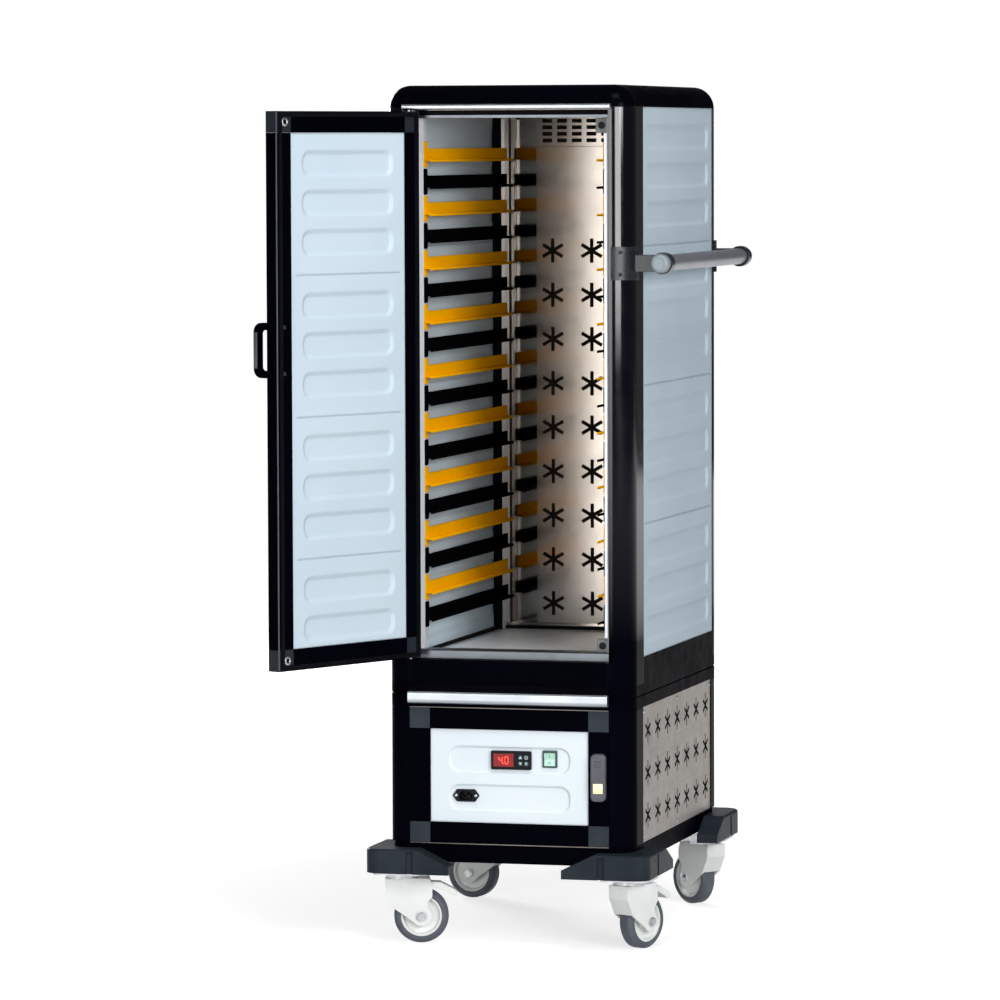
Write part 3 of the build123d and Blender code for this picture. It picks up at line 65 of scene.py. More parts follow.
MM = 0.001
SIDES = (-1.0, 1.0)
RIGHT: Triple = (1.0, 0.0, 0.0)
FRONT: Triple = (0.0, -1.0, 0.0)
BACK: Triple = (0.0, 1.0, 0.0)
DOWN: Triple = (0.0, 0.0, -1.0)
UP: Triple = (0.0, 0.0, 1.0)
WHITE = (1.0, 1.0, 1.0, 1.0)
UNIT = (0.0, 1.0)
QUARTER = math.radians(90.0)
# Distance under which two points are one, in millimetres
TOUCH = 0.001
# Upward share of a normal from which a surface counts as level
LEVEL = 0.9


def linear(colour: Colour) -> tuple[float, float, float, float]:
    """Turns a screen colour into the linear values that a shader socket takes.

    Args:
        colour: Red, green and blue from 0 to 255.

    Returns:
        Linear red, green, blue and a full alpha.
    """
    parts = []
    for value in colour:
        share = value / 255.0
        parts.append(share / 12.92 if share <= 0.04045 else ((share + 0.055) / 1.055) ** 2.4)
    return parts[0], parts[1], parts[2], 1.0


class Grain(Enum):
    """The fine relief of a surface."""

    PEEL = "peel"
    PEBBLE = "pebble"
    BRUSH_LEVEL = "brush_level"
    BRUSH_DEEP = "brush_deep"
    BRUSH_UPRIGHT = "brush_upright"


BRUSH_SCALE: dict[Grain, Triple] = {
    Grain.BRUSH_LEVEL: (7.0, 7.0, 1400.0),
    Grain.BRUSH_DEEP: (1400.0, 7.0, 60.0),
    Grain.BRUSH_UPRIGHT: (1400.0, 1400.0, 7.0),
}
PEBBLE_SMOOTHNESS = 0.6
# Finer layers of a noise, and their strength
PEEL_LAYERS = (2.0, 0.5)
BRUSH_LAYERS = (5.0, 0.65)
CLOUD_LAYERS = (4.0, 0.5)
SMUDGE_LAYERS = (6.0, 0.6)
# Smudges to a cloud of colour
SMUDGE_FINENESS = 9.0
# Stretches of the noises that are used
CLOUD_RANGE = (0.32, 0.68)
SMUDGE_RANGE = (0.3, 0.7)
BRUSHED_RANGE = (0.65, 1.35)
# Specular level below the height at which a gloss comes up
LEAST_GLOSS = 0.003
# Black that is painted over a finish between two heights
BAND_BLACK: Colour = (5, 5, 9)


class Graph:
    """A node graph that is filled node by node."""

    def __init__(self, tree: bpy.types.NodeTree) -> None:
        """Starts from an emptied tree."""
        self.tree = tree
        self.tree.nodes.clear()

    def node(self, kind: str, inputs: dict | None = None, **settings: object) -> bpy.types.Node:
        """Adds a node, sets its properties and fills its sockets.

        Args:
            kind: Blender's name of the node type.
            inputs: Socket name or index to a value, or to an output socket to link.
            settings: Properties of the node itself.

        Returns:
            The new node.
        """
        made = self.tree.nodes.new(kind)
        for key, value in settings.items():
            setattr(made, key, value)
        for key, value in (inputs or {}).items():
            if isinstance(value, Socket):
                self.tree.links.new(value, made.inputs[key])
            else:
                made.inputs[key].default_value = value
        return made

    def worked(self, operation: str, *values: Socket | float) -> Socket:
        """Works out one value from others.

        Args:
            operation: Blender's name of the operation.
            values: Numbers or sockets in the node's order.

        Returns:
            The result's socket.
        """
        return self.node("ShaderNodeMath", dict(enumerate(values)), operation=operation).outputs[0]

    def place(self) -> Socket:
        """Gives the place on the object, in metres."""
        return self.node("ShaderNodeTexCoord").outputs["Object"]

    def noise(self, place: Socket, scale: float, layers: Pair) -> Socket:
        """Makes soft noise.

        Args:
            place: Socket of the place on the object.
            scale: Features to the metre.
            layers: Number of finer layers, and their strength.

        Returns:
            The noise's socket, from 0 to 1.
        """
        made = self.node("ShaderNodeTexNoise", {
            "Vector": place, "Scale": scale, "Detail": layers[0], "Roughness": layers[1]})
        return made.outputs[0]

    def blend(self, share: Socket, first: Socket | tuple, second: Socket | tuple) -> Socket:
        """Mixes two colours by a share.

        Args:
            share: Socket from 0, all first, to 1, all second.
            first: First linear colour or its socket.
            second: Second linear colour or its socket.

        Returns:
            The mixed colour's socket.
        """
        mix = self.node("ShaderNodeMix", {0: share, 6: first, 7: second}, data_type="RGBA")
        return mix.outputs[2]

    def ranged(self, value: Socket, start: Pair, end: Pair) -> Socket:
        """Maps one range of numbers onto another, clamped.

        Args:
            value: Socket to map.
            start: Range that comes in.
            end: Range that goes out.

        Returns:
            The mapped value's socket.
        """
        made = self.node("ShaderNodeMapRange", {
            "Value": value, "From Min": start[0], "From Max": start[1],
            "To Min": end[0], "To Max": end[1]})
        return made.outputs["Result"]

    def close(self, shader: bpy.types.Node, output: str = "ShaderNodeOutputMaterial") -> None:
        """Links the last shader to a new output node."""
        self.node(output, {"Surface": shader.outputs[0]})


def new_material(name: str) -> tuple[bpy.types.Material, Graph]:
    """Starts a material with an empty graph.

    Args:
        name: Name of the material.

    Returns:
        The material and its graph.
    """
    material = bpy.data.materials.new(name)
    material.use_nodes = True
    return material, Graph(material.node_tree)


@dataclass(frozen=True)
class Finish:
    """A real surface: its colours, gloss, fine relief and the softness of its edges.

    Attributes:
        name: Name of the material.
        colour: Main screen colour.
        tint: Colour that the surface drifts to in soft clouds.
        roughness: Lowest and highest roughness over the surface.
        grain: Kind of fine relief.
        grain_scale: Fine features to the metre.
        relief: Depth of the fine relief in millimetres.
        bump: Strength of the fine relief.
        drift: Clouds of colour to the metre.
        metallic: 1 for bare metal.
        specular: Specular level, 0.5 for plain plastic.
        edge: Radius that edges are rounded to in the shading, in millimetres.
        glow: Strength of the light that the surface gives off in its own colour.
        gloss_rise: Heights in millimetres between which the specular level comes up, empty for
            level gloss.
        dark_band: Lowest and highest height in millimetres between which the finish is painted
            black, empty for none.
    """

    name: str
    colour: Colour
    tint: Colour
    roughness: Pair
    grain: Grain = Grain.PEEL
    grain_scale: float = 500.0
    relief: float = 0.2
    bump: float = 0.1
    drift: float = 6.0
    metallic: float = 0.0
    specular: float = 0.5
    edge: float = 0.8
    glow: float = 0.0
    gloss_rise: tuple[float, ...] = ()
    dark_band: tuple[float, ...] = ()

    def fine_relief(self, graph: Graph, place: Socket) -> Socket:
        """Makes the height of the fine relief.

        Args:
            graph: Graph of the material.
            place: Socket of the place on the object.

        Returns:
            The height's socket, from 0 to 1.
        """
        if self.grain is Grain.PEEL:
            return graph.noise(place, self.grain_scale, PEEL_LAYERS)
        if self.grain is Grain.PEBBLE:
            return graph.node("ShaderNodeTexVoronoi", {
                "Vector": place, "Scale": self.grain_scale, "Smoothness": PEBBLE_SMOOTHNESS},
                feature="SMOOTH_F1").outputs["Distance"]
        turned = graph.node("ShaderNodeMapping", {
            "Vector": place, "Scale": BRUSH_SCALE[self.grain]})
        return graph.noise(turned.outputs[0], 1.0, BRUSH_LAYERS)

    def smudges(self, graph: Graph, place: Socket, height: Socket) -> Socket:
        """Makes the roughness, which varies in smudges and along brush strokes.

        Args:
            graph: Graph of the material.
            place: Socket of the place on the object.
            height: Socket of the fine relief.

        Returns:
            The roughness's socket.
        """
        smudge = graph.noise(place, self.drift * SMUDGE_FINENESS, SMUDGE_LAYERS)
        if self.grain in BRUSH_SCALE:
            return graph.ranged(graph.worked("ADD", smudge, height), BRUSHED_RANGE, self.roughness)
        return graph.ranged(smudge, SMUDGE_RANGE, self.roughness)

    def material(self) -> bpy.types.Material:
        """Makes the material, or finds it where another piece has it already.

        Returns:
            The material.
        """
        title = "finish_" + self.name
        known = bpy.data.materials.get(title)
        if known is not None:
            return known
        made, graph = new_material(title)
        place = graph.place()
        height = self.fine_relief(graph, place)
        clouds = graph.ranged(graph.noise(place, self.drift, CLOUD_LAYERS), CLOUD_RANGE, UNIT)
        colour = graph.blend(clouds, linear(self.colour), linear(self.tint))
        soft = graph.node("ShaderNodeBevel", {"Radius": self.edge * MM}, samples=4)
        bump = graph.node("ShaderNodeBump", {
            "Height": height, "Strength": self.bump, "Distance": self.relief * MM,
            "Normal": soft.outputs[0]})
        metallic, specular = self.metallic, self.specular
        level = graph.node("ShaderNodeSeparateXYZ", {0: place}).outputs["Z"]
        if self.gloss_rise:
            low, high = self.gloss_rise
            specular = graph.ranged(level, (low * MM, high * MM), (LEAST_GLOSS, self.specular))
        # Between those two heights the colour is painted black and the surface is no longer metal.
        if self.dark_band:
            low, high = self.dark_band
            banded = graph.worked("COMPARE", level, (low + high) / 2 * MM, (high - low) / 2 * MM)
            metallic = graph.ranged(banded, UNIT, (self.metallic, 0.0))
            colour = graph.blend(banded, colour, linear(BAND_BLACK))
        shader = graph.node("ShaderNodeBsdfPrincipled", {
            "Base Color": colour, "Roughness": self.smudges(graph, place, height),
            "Normal": bump.outputs[0], "Metallic": metallic, "Specular IOR Level": specular})
        if self.glow > 0.0:
            graph.tree.links.new(colour, shader.inputs["Emission Color"])
            shader.inputs["Emission Strength"].default_value = self.glow
        graph.close(shader)
        return made


# Black frame, posts and their fittings
LACQUER = Finish("frame_satin", (2, 2, 7), (4, 4, 12), (0.36, 0.48), grain_scale=320.0,
                 bump=0.06, drift=3.0, specular=0.004, edge=2.2)
POST = Finish("post_gloss", (2, 3, 9), (5, 6, 15), (0.06, 0.12), grain_scale=240.0, bump=0.02,
              drift=3.0, specular=0.56, edge=2.2, gloss_rise=(560.0, 1240.0))
BEAM = Finish("beam_gloss", (2, 2, 7), (4, 5, 12), (0.14, 0.22), grain_scale=240.0, bump=0.03,
              drift=3.0, specular=0.02, edge=2.2)
CONNECTOR = Finish("connector_grey", (40, 47, 54), (52, 60, 66), (0.42, 0.56), Grain.PEBBLE, 1500.0,
                   relief=0.12, bump=0.25, drift=20.0, specular=0.12, edge=1.4)
# Darker copy of the grey connector finish for the door's corners: the shade that falls on them is
# painted in
SHADED_CONNECTOR = Finish("connector_painted_shade", (26, 30, 38), (36, 41, 49), (0.36, 0.5), Grain.PEBBLE,
                     1500.0, relief=0.12, bump=0.25, drift=20.0, specular=0.2, edge=1.4)
BRACKET = Finish("bracket_slate", (18, 22, 27), (30, 35, 41), (0.24, 0.36), Grain.PEBBLE, 900.0,
                 relief=0.15, bump=0.12, drift=26.0, specular=0.42, edge=1.6)
# Pale panels
PANEL = Finish("panel_pale", (195, 212, 224), (201, 217, 228), (0.5, 0.62), Grain.PEBBLE, 1100.0,
               relief=0.06, bump=0.12, drift=4.0, specular=0.02, edge=5.0)
CONTROL = Finish("panel_control", (226, 236, 243), (231, 240, 246), (0.5, 0.62), Grain.PEBBLE,
                 1100.0, relief=0.06, bump=0.12, specular=0.02, edge=4.0)
# Metals
STEEL_LEVEL = Finish("steel_level", (136, 129, 121), (148, 141, 134), (0.15, 0.24),
                     Grain.BRUSH_LEVEL, relief=0.04, bump=0.12, drift=3.0, metallic=1.0)
STEEL_BRIGHT = Finish("steel_bright", (142, 133, 124), (154, 146, 137), (0.05, 0.1),
                      Grain.BRUSH_LEVEL, relief=0.02, bump=0.04, drift=3.0, metallic=1.0)
STEEL_DEEP = Finish("steel_deep", (234, 238, 243), (240, 244, 248), (0.26, 0.34),
                    Grain.BRUSH_DEEP, relief=0.02, bump=0.02, drift=2.0, metallic=0.15)
STEEL_VENT = Finish("steel_vent", (128, 121, 115), (140, 133, 127), (0.3, 0.46),
                    Grain.BRUSH_LEVEL, relief=0.05, bump=0.2, drift=4.0, metallic=1.0)
ALUMINIUM = Finish("aluminium_satin", (206, 211, 215), (216, 221, 225), (0.2, 0.3),
                   Grain.BRUSH_LEVEL, relief=0.03, bump=0.08, drift=5.0, metallic=1.0, edge=1.0)
# Both metals below are painted black between two heights: the trims between 467.5 and 600 mm, the
# lining above 1512 mm.
TRIM = Finish("trim_polished", (164, 169, 174), (178, 183, 187), (0.3, 0.4), Grain.BRUSH_LEVEL,
              relief=0.03, bump=0.08, drift=5.0, metallic=1.0, specular=0.02, edge=1.4,
              dark_band=(467.5, 600.0))
LINING = Finish("opening_lining", (96, 100, 105), (110, 114, 119), (0.3, 0.42), Grain.BRUSH_LEVEL,
                relief=0.03, drift=5.0, metallic=1.0, specular=0.02, dark_band=(1512.0, 1600.0))
UPRIGHT = Finish("aluminium_upright", (228, 231, 235), (236, 238, 241), (0.3, 0.42),
                 Grain.BRUSH_UPRIGHT, relief=0.03, metallic=0.3)
ZINC = Finish("zinc_plate", (196, 198, 200), (174, 177, 182), (0.22, 0.42), Grain.PEBBLE, 420.0,
              relief=0.06, bump=0.12, drift=30.0, metallic=1.0, edge=0.5)
BAR = Finish("bar_anodised", (126, 129, 138), (138, 141, 150), (0.3, 0.44), Grain.BRUSH_LEVEL,
             relief=0.04, bump=0.12, drift=5.0, metallic=0.35, edge=0.5)
# Mouldings and rubber
RAIL_YELLOW = Finish("rail_yellow", (255, 186, 0), (252, 176, 0), (0.5, 0.62), grain_scale=800.0,
                     relief=0.12, drift=10.0, specular=0.0, edge=0.9)
RAIL_BLACK = Finish("rail_black", (4, 4, 6), (8, 8, 11), (0.5, 0.62), grain_scale=800.0,
                    relief=0.12, drift=10.0, specular=0.0, edge=0.9)
BUMPER = Finish("bumper_rubber", (34, 41, 47), (45, 52, 59), (0.36, 0.5), Grain.PEBBLE, 900.0,
                relief=0.16, bump=0.22, drift=14.0, specular=0.06, edge=4.0)
GASKET = Finish("seal_rubber", (7, 8, 12), (12, 13, 17), (0.45, 0.65), Grain.PEBBLE, 1600.0,
                relief=0.1, bump=0.2, drift=20.0, specular=0.05, edge=1.0)
TYRE = Finish("tyre_grey", (80, 85, 95), (96, 101, 110), (0.46, 0.66), Grain.PEBBLE, 1300.0,
              relief=0.15, bump=0.3, drift=24.0, specular=0.3, edge=3.0)
NYLON = Finish("caster_nylon", (246, 249, 247), (236, 239, 236), (0.34, 0.52), Grain.PEBBLE,
               1000.0, relief=0.1, bump=0.16, drift=16.0, specular=0.4, edge=1.6)
BAR_CAP = Finish("bar_cap", (132, 144, 150), (146, 157, 163), (0.34, 0.46), Grain.PEBBLE, 1200.0,
                 relief=0.1, bump=0.16, drift=20.0, specular=0.4, edge=2.0)
CATCH = Finish("catch_grey", (104, 110, 106), (124, 128, 124), (0.4, 0.56), Grain.PEBBLE, 700.0,
               relief=0.15, bump=0.3, drift=60.0, specular=0.3, edge=1.0)
# Dark sheet that paints the shade behind the duct's cut-outs and the side vents
SHADE_SHEET = Finish("duct_shade_sheet", (26, 23, 21), (40, 36, 33), (0.85, 0.95), Grain.PEBBLE, 900.0,
                relief=0.4, bump=0.5, drift=40.0, specular=0.05, edge=0.2)
# Controls
DEVICE = Finish("device_black", (12, 14, 19), (19, 21, 28), (0.32, 0.46), Grain.PEBBLE, 2200.0,
                relief=0.06, bump=0.2, drift=30.0, specular=0.12, edge=0.6)
HOUSING = Finish("indicator_grey", (70, 71, 80), (84, 85, 93), (0.3, 0.42), Grain.PEBBLE, 1800.0,
                 relief=0.06, bump=0.18, drift=30.0, specular=0.45, edge=2.0)
GREEN = Finish("switch_green", (8, 58, 48), (14, 76, 62), (0.2, 0.32), grain_scale=900.0,
               relief=0.1, bump=0.08, drift=40.0, specular=0.4)
MINT = Finish("rocker_mint", (190, 228, 214), (168, 212, 196), (0.22, 0.34), grain_scale=900.0,
              relief=0.1, bump=0.08, drift=60.0, edge=1.5, glow=0.12)
LAMP = Finish("lamp_lit", (255, 236, 158), (255, 246, 208), (0.2, 0.3), Grain.PEBBLE, 700.0,
              bump=0.3, drift=80.0, edge=1.0, glow=0.45)
WINDOW = Finish("display_red", (120, 4, 6), (150, 6, 6), (0.14, 0.22), grain_scale=600.0,
                relief=0.05, bump=0.05, drift=40.0, specular=0.3, edge=0.4, glow=0.22)
KEY = Finish("key_slate", (40, 58, 60), (50, 70, 72), (0.42, 0.55), Grain.PEBBLE, 2400.0,
             relief=0.05, bump=0.2, drift=60.0, specular=0.3, edge=1.0)
DIGIT = Finish("digit_lit", (255, 52, 30), (255, 74, 46), (0.3, 0.4), grain_scale=900.0,
               relief=0.05, bump=0.05, drift=90.0, edge=0.1, glow=1.0)
MARK = Finish("key_mark", (206, 218, 218), (190, 204, 204), (0.4, 0.5), grain_scale=900.0,
              relief=0.05, bump=0.05, drift=60.0, edge=0.2)

NODE_FINISHES: dict[str, Finish] = {
    "base_pan": LACQUER, "corner_posts": POST, "deck_frame": LACQUER, "threshold_beam": LACQUER,
    "top_beams": BEAM, "roof_panel": LACQUER, "caster_mounts": ZINC, "corner_bumpers": BUMPER,
    "opening_frame": LINING, "front_trims": TRIM, "rack_uprights": UPRIGHT,
    "side_walls": PANEL, "back_wall": PANEL, "cavity_liners": STEEL_BRIGHT,
    "cavity_floor": STEEL_DEEP, "air_duct": STEEL_LEVEL, "evaporator": ALUMINIUM,
    "machine_grilles": STEEL_VENT, "rails_black": RAIL_BLACK, "rails_yellow": RAIL_YELLOW,
    "control_frame": LACQUER, "control_corners": CONNECTOR, "control_panel": CONTROL,
    "thermostat_housing": DEVICE, "thermostat_window": WINDOW, "switch_housing": GREEN,
    "switch_rocker": MINT, "power_inlet": DEVICE, "indicator_housing": HOUSING,
    "indicator_lens": LAMP, "key_up": KEY, "key_down": KEY, "key_set": KEY, "key_defrost": KEY,
    "condensing_unit": DEVICE, "evaporator_fan": DEVICE, "condenser_fan": DEVICE,
    "push_bar": BAR, "push_bar_caps": BAR_CAP, "push_bar_brackets": BRACKET, "hinge_pins": ZINC,
    "door_frame": LACQUER, "door_corners": SHADED_CONNECTOR, "door_panel": PANEL,
    "door_gasket": GASKET, "door_handle": LACQUER,
}


def facing(at: Point, normal: Point, spin: float = 0.0) -> Matrix:
    """Gives the place of a shape whose own Z points along a normal and whose Y points up.

    Args:
        at: Point in millimetres.
        normal: Way that the shape faces.
        spin: Turn about the normal, in degrees.

    Returns:
        The place as a matrix.
    """
    out = Vector(normal).normalized()
    up = Vector(UP) if abs(out.z) < LEVEL else Vector(BACK)
    side = up.cross(out).normalized()
    turn = Matrix((side, out.cross(side), out)).transposed().to_4x4()
    return Matrix.Translation(at) @ turn @ Matrix.Rotation(math.radians(spin), 4, "Z")


def arc(centre: Pair, radius: float, start: float, end: float, steps: int = 6) -> list[Pair]:
    """Gives points along an arc.

    Args:
        centre: Its centre.
        radius: Its radius.
        start: First angle in degrees.
        end: Last angle in degrees.
        steps: Parts that it is split into.

    Returns:
        The points, both ends among them.
    """
    turns = [math.radians(start + (end - start) * k / steps) for k in range(steps + 1)]
    return [(centre[0] + radius * math.cos(t), centre[1] + radius * math.sin(t)) for t in turns]


def landing(node: str, start: Point, way: Point) -> tuple[Vector, Vector]:
    """Finds where a straight line first meets a node.

    Args:
        node: Name of the node.
        start: Start of the line in millimetres.
        way: Direction of the line.

    Returns:
        The point in millimetres and the surface's normal there.
    """
    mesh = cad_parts[node].data
    tree = BVHTree.FromPolygons([v.co for v in mesh.vertices], [p.vertices for p in mesh.polygons])
    point, normal, _, _ = tree.ray_cast(Vector(start) * MM, Vector(way).normalized())
    return point / MM, normal


def corners(node: str) -> tuple[Vector, Vector]:
    """Gives the lowest and highest corner of a node's box in millimetres."""
    low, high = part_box(node)
    return low / MM, high / MM


def middle(node: str) -> Vector:
    """Gives the middle of a node's box in millimetres."""
    low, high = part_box(node)
    return (low + high) / (2.0 * MM)


class Rounding(Enum):
    """Radius of a block's edges in millimetres, and the faces across each."""

    SHEET = (0.3, 1)
    CRISP = (0.4, 2)
    FINE = (0.5, 2)
    STRIP = (0.6, 2)
    PAN = (0.8, 2)
    RAIL = (0.8, 3)
    RIB = (1.2, 3)
    BEAD = (1.4, 3)
    CATCH = (2.0, 3)


# How deep the foot of a fitting goes into its seat
SUNK = 0.4
# Domed head and its socket, in shares of the head's radius and rise
HEAD = ((1.0, 0.3), (0.86, 0.74), (0.64, 0.97), (0.45, 1.0), (0.45, 0.3))
SOCKET = ((0.0, 0.32), (0.49, 0.32), (0.49, 0.96))
# Washer under a hexagon head: shares of the head's radius, and heights
WASHER = ((0.0, 1.2), (1.25, 1.2), (1.3, 0.8), (1.3, -SUNK))
WASHER_RIM = 0.8
HEXAGON_CHAMFER = 0.5
SHARP_ANGLE = math.radians(32.0)


class Shape:
    """A mesh that is made from operators, in millimetres until it is finished."""

    def __init__(self) -> None:
        """Starts with nothing."""
        self.mesh = bmesh.new()

    def take(self, part: bmesh.types.BMesh, place: Matrix) -> None:
        """Moves a made part to its place and joins it on.

        Args:
            part: The part, which is used up.
            place: Its place.
        """
        bmesh.ops.remove_doubles(part, verts=part.verts, dist=TOUCH)
        bmesh.ops.transform(part, matrix=place, verts=part.verts)
        bmesh.ops.recalc_face_normals(part, faces=part.faces)
        spare = bpy.data.meshes.new("spare")
        part.to_mesh(spare)
        part.free()
        self.mesh.from_mesh(spare)
        bpy.data.meshes.remove(spare)

    def block(self, size: Triple, place: Matrix, rounding: Rounding = Rounding.FINE) -> None:
        """Adds a block with rounded edges about its place.

        Args:
            size: Its three sizes.
            place: Place of its middle.
            rounding: Rounding of its edges.
        """
        edge, steps = rounding.value
        part = bmesh.new()
        bmesh.ops.create_cube(part, size=1.0, matrix=Matrix.Diagonal((*size, 1.0)))
        bmesh.ops.bevel(part, geom=part.edges[:], offset=edge, offset_type="OFFSET", segments=steps,
                        profile=0.5, affect="EDGES", material=-1)
        self.take(part, place)

    def span(self, first: Triple, second: Triple, rounding: Rounding = Rounding.FINE) -> None:
        """Adds a block with rounded edges between two opposite corners.

        Args:
            first: One corner.
            second: The corner across from it.
            rounding: Rounding of its edges.
        """
        start, end = Vector(first), Vector(second)
        size = (abs(end.x - start.x), abs(end.y - start.y), abs(end.z - start.z))
        self.block(size, Matrix.Translation((start + end) / 2), rounding)

    def twin(self, first: Triple, second: Triple, rounding: Rounding = Rounding.FINE) -> None:
        """Adds a block between two corners on the right, and its like on the left.

        Args:
            first: One corner.
            second: The corner across from it.
            rounding: Rounding of its edges.
        """
        for side in SIDES:
            self.span((side * first[0], *first[1:]), (side * second[0], *second[1:]), rounding)

    def turned(self, outline: Profile, place: Matrix, steps: int = 24) -> None:
        """Adds a turned shape round the place's own Z.

        Args:
            outline: Radius and height of each point of its outline.
            place: Place of its foot.
            steps: Faces round it.
        """
        part = bmesh.new()
        verts = [part.verts.new((radius, 0.0, height)) for radius, height in outline]
        edges = [part.edges.new(pair) for pair in zip(verts, verts[1:])]
        bmesh.ops.spin(part, geom=verts + edges, cent=(0.0, 0.0, 0.0), axis=UP,
                       dvec=(0.0, 0.0, 0.0), angle=math.tau, steps=steps, use_merge=True,
                       use_normal_flip=False, use_duplicate=False)
        self.take(part, place)

    def plate(self, outline: Profile, height: float, place: Matrix, edge: float = 0.0,
              rim: bool = False) -> None:
        """Adds a flat plate raised from an outline.

        Args:
            outline: Corners in the place's own X and Y.
            height: How far it rises along the place's own Z.
            place: Place of its foot.
            edge: Chamfer of its edges.
            rim: True to round only the rims of its two flat faces.
        """
        part = bmesh.new()
        face = part.faces.new([part.verts.new((x, y, 0.0)) for x, y in outline])
        raised = bmesh.ops.extrude_face_region(part, geom=[face])
        lifted = [item for item in raised["geom"] if isinstance(item, bmesh.types.BMVert)]
        bmesh.ops.translate(part, vec=(0.0, 0.0, height), verts=lifted)
        if edge > 0.0:
            edges = [item for item in part.edges
                     if not rim or abs(item.verts[0].co.z - item.verts[1].co.z) < TOUCH]
            bmesh.ops.bevel(part, geom=edges, offset=edge, offset_type="OFFSET",
                            segments=3 if rim else 1, profile=0.5, affect="EDGES", material=-1)
        self.take(part, place)

    def screw(self, place: Matrix, size: Pair) -> None:
        """Adds a domed screw head with a hexagon socket.

        Args:
            place: Place of its foot.
            size: Radius and height of the head.
        """
        radius, rise = size
        dome = [(radius * wide, rise * tall) for wide, tall in HEAD]
        self.turned([(radius, -SUNK), *dome], place, steps=20)
        self.turned([(radius * wide, rise * tall) for wide, tall in SOCKET], place, steps=6)

    def nut(self, place: Matrix, size: Pair) -> None:
        """Adds a hexagon head on a washer, with a chamfered top.

        Args:
            place: Place of its foot.
            size: Radius over its corners and height of the head.
        """
        radius, rise = size
        self.turned([(radius * wide, tall) for wide, tall in WASHER], place)
        hexagon = arc((0.0, 0.0), radius, 0.0, 300.0, steps=5)
        self.plate(hexagon, rise, place @ Matrix.Translation((0.0, 0.0, WASHER_RIM)),
                   HEXAGON_CHAMFER)

    def finish(self, name: str, finish: Finish, body: str, slot: str) -> bpy.types.Object:
        """Turns the shape into a piece of the cart.

        Args:
            name: Name of the piece.
            finish: Its surface.
            body: Body that it moves with.
            slot: Slot of the record; not used.

        Returns:
            The piece.
        """
        bmesh.ops.scale(self.mesh, vec=(MM, MM, MM), verts=self.mesh.verts)
        mesh = bpy.data.meshes.new(name)
        self.mesh.to_mesh(mesh)
        self.mesh.free()
        mesh.shade_smooth()
        mesh.set_sharp_from_angle(angle=SHARP_ANGLE)
        mesh.materials.append(finish.material())
        piece = bpy.data.objects.new(name, mesh)
        bpy.context.scene.collection.objects.link(piece)
        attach(piece, body)
        LOG.info("%s: %d faces in %s, rides on %s", name, len(mesh.polygons), finish.name, body)
        return piece


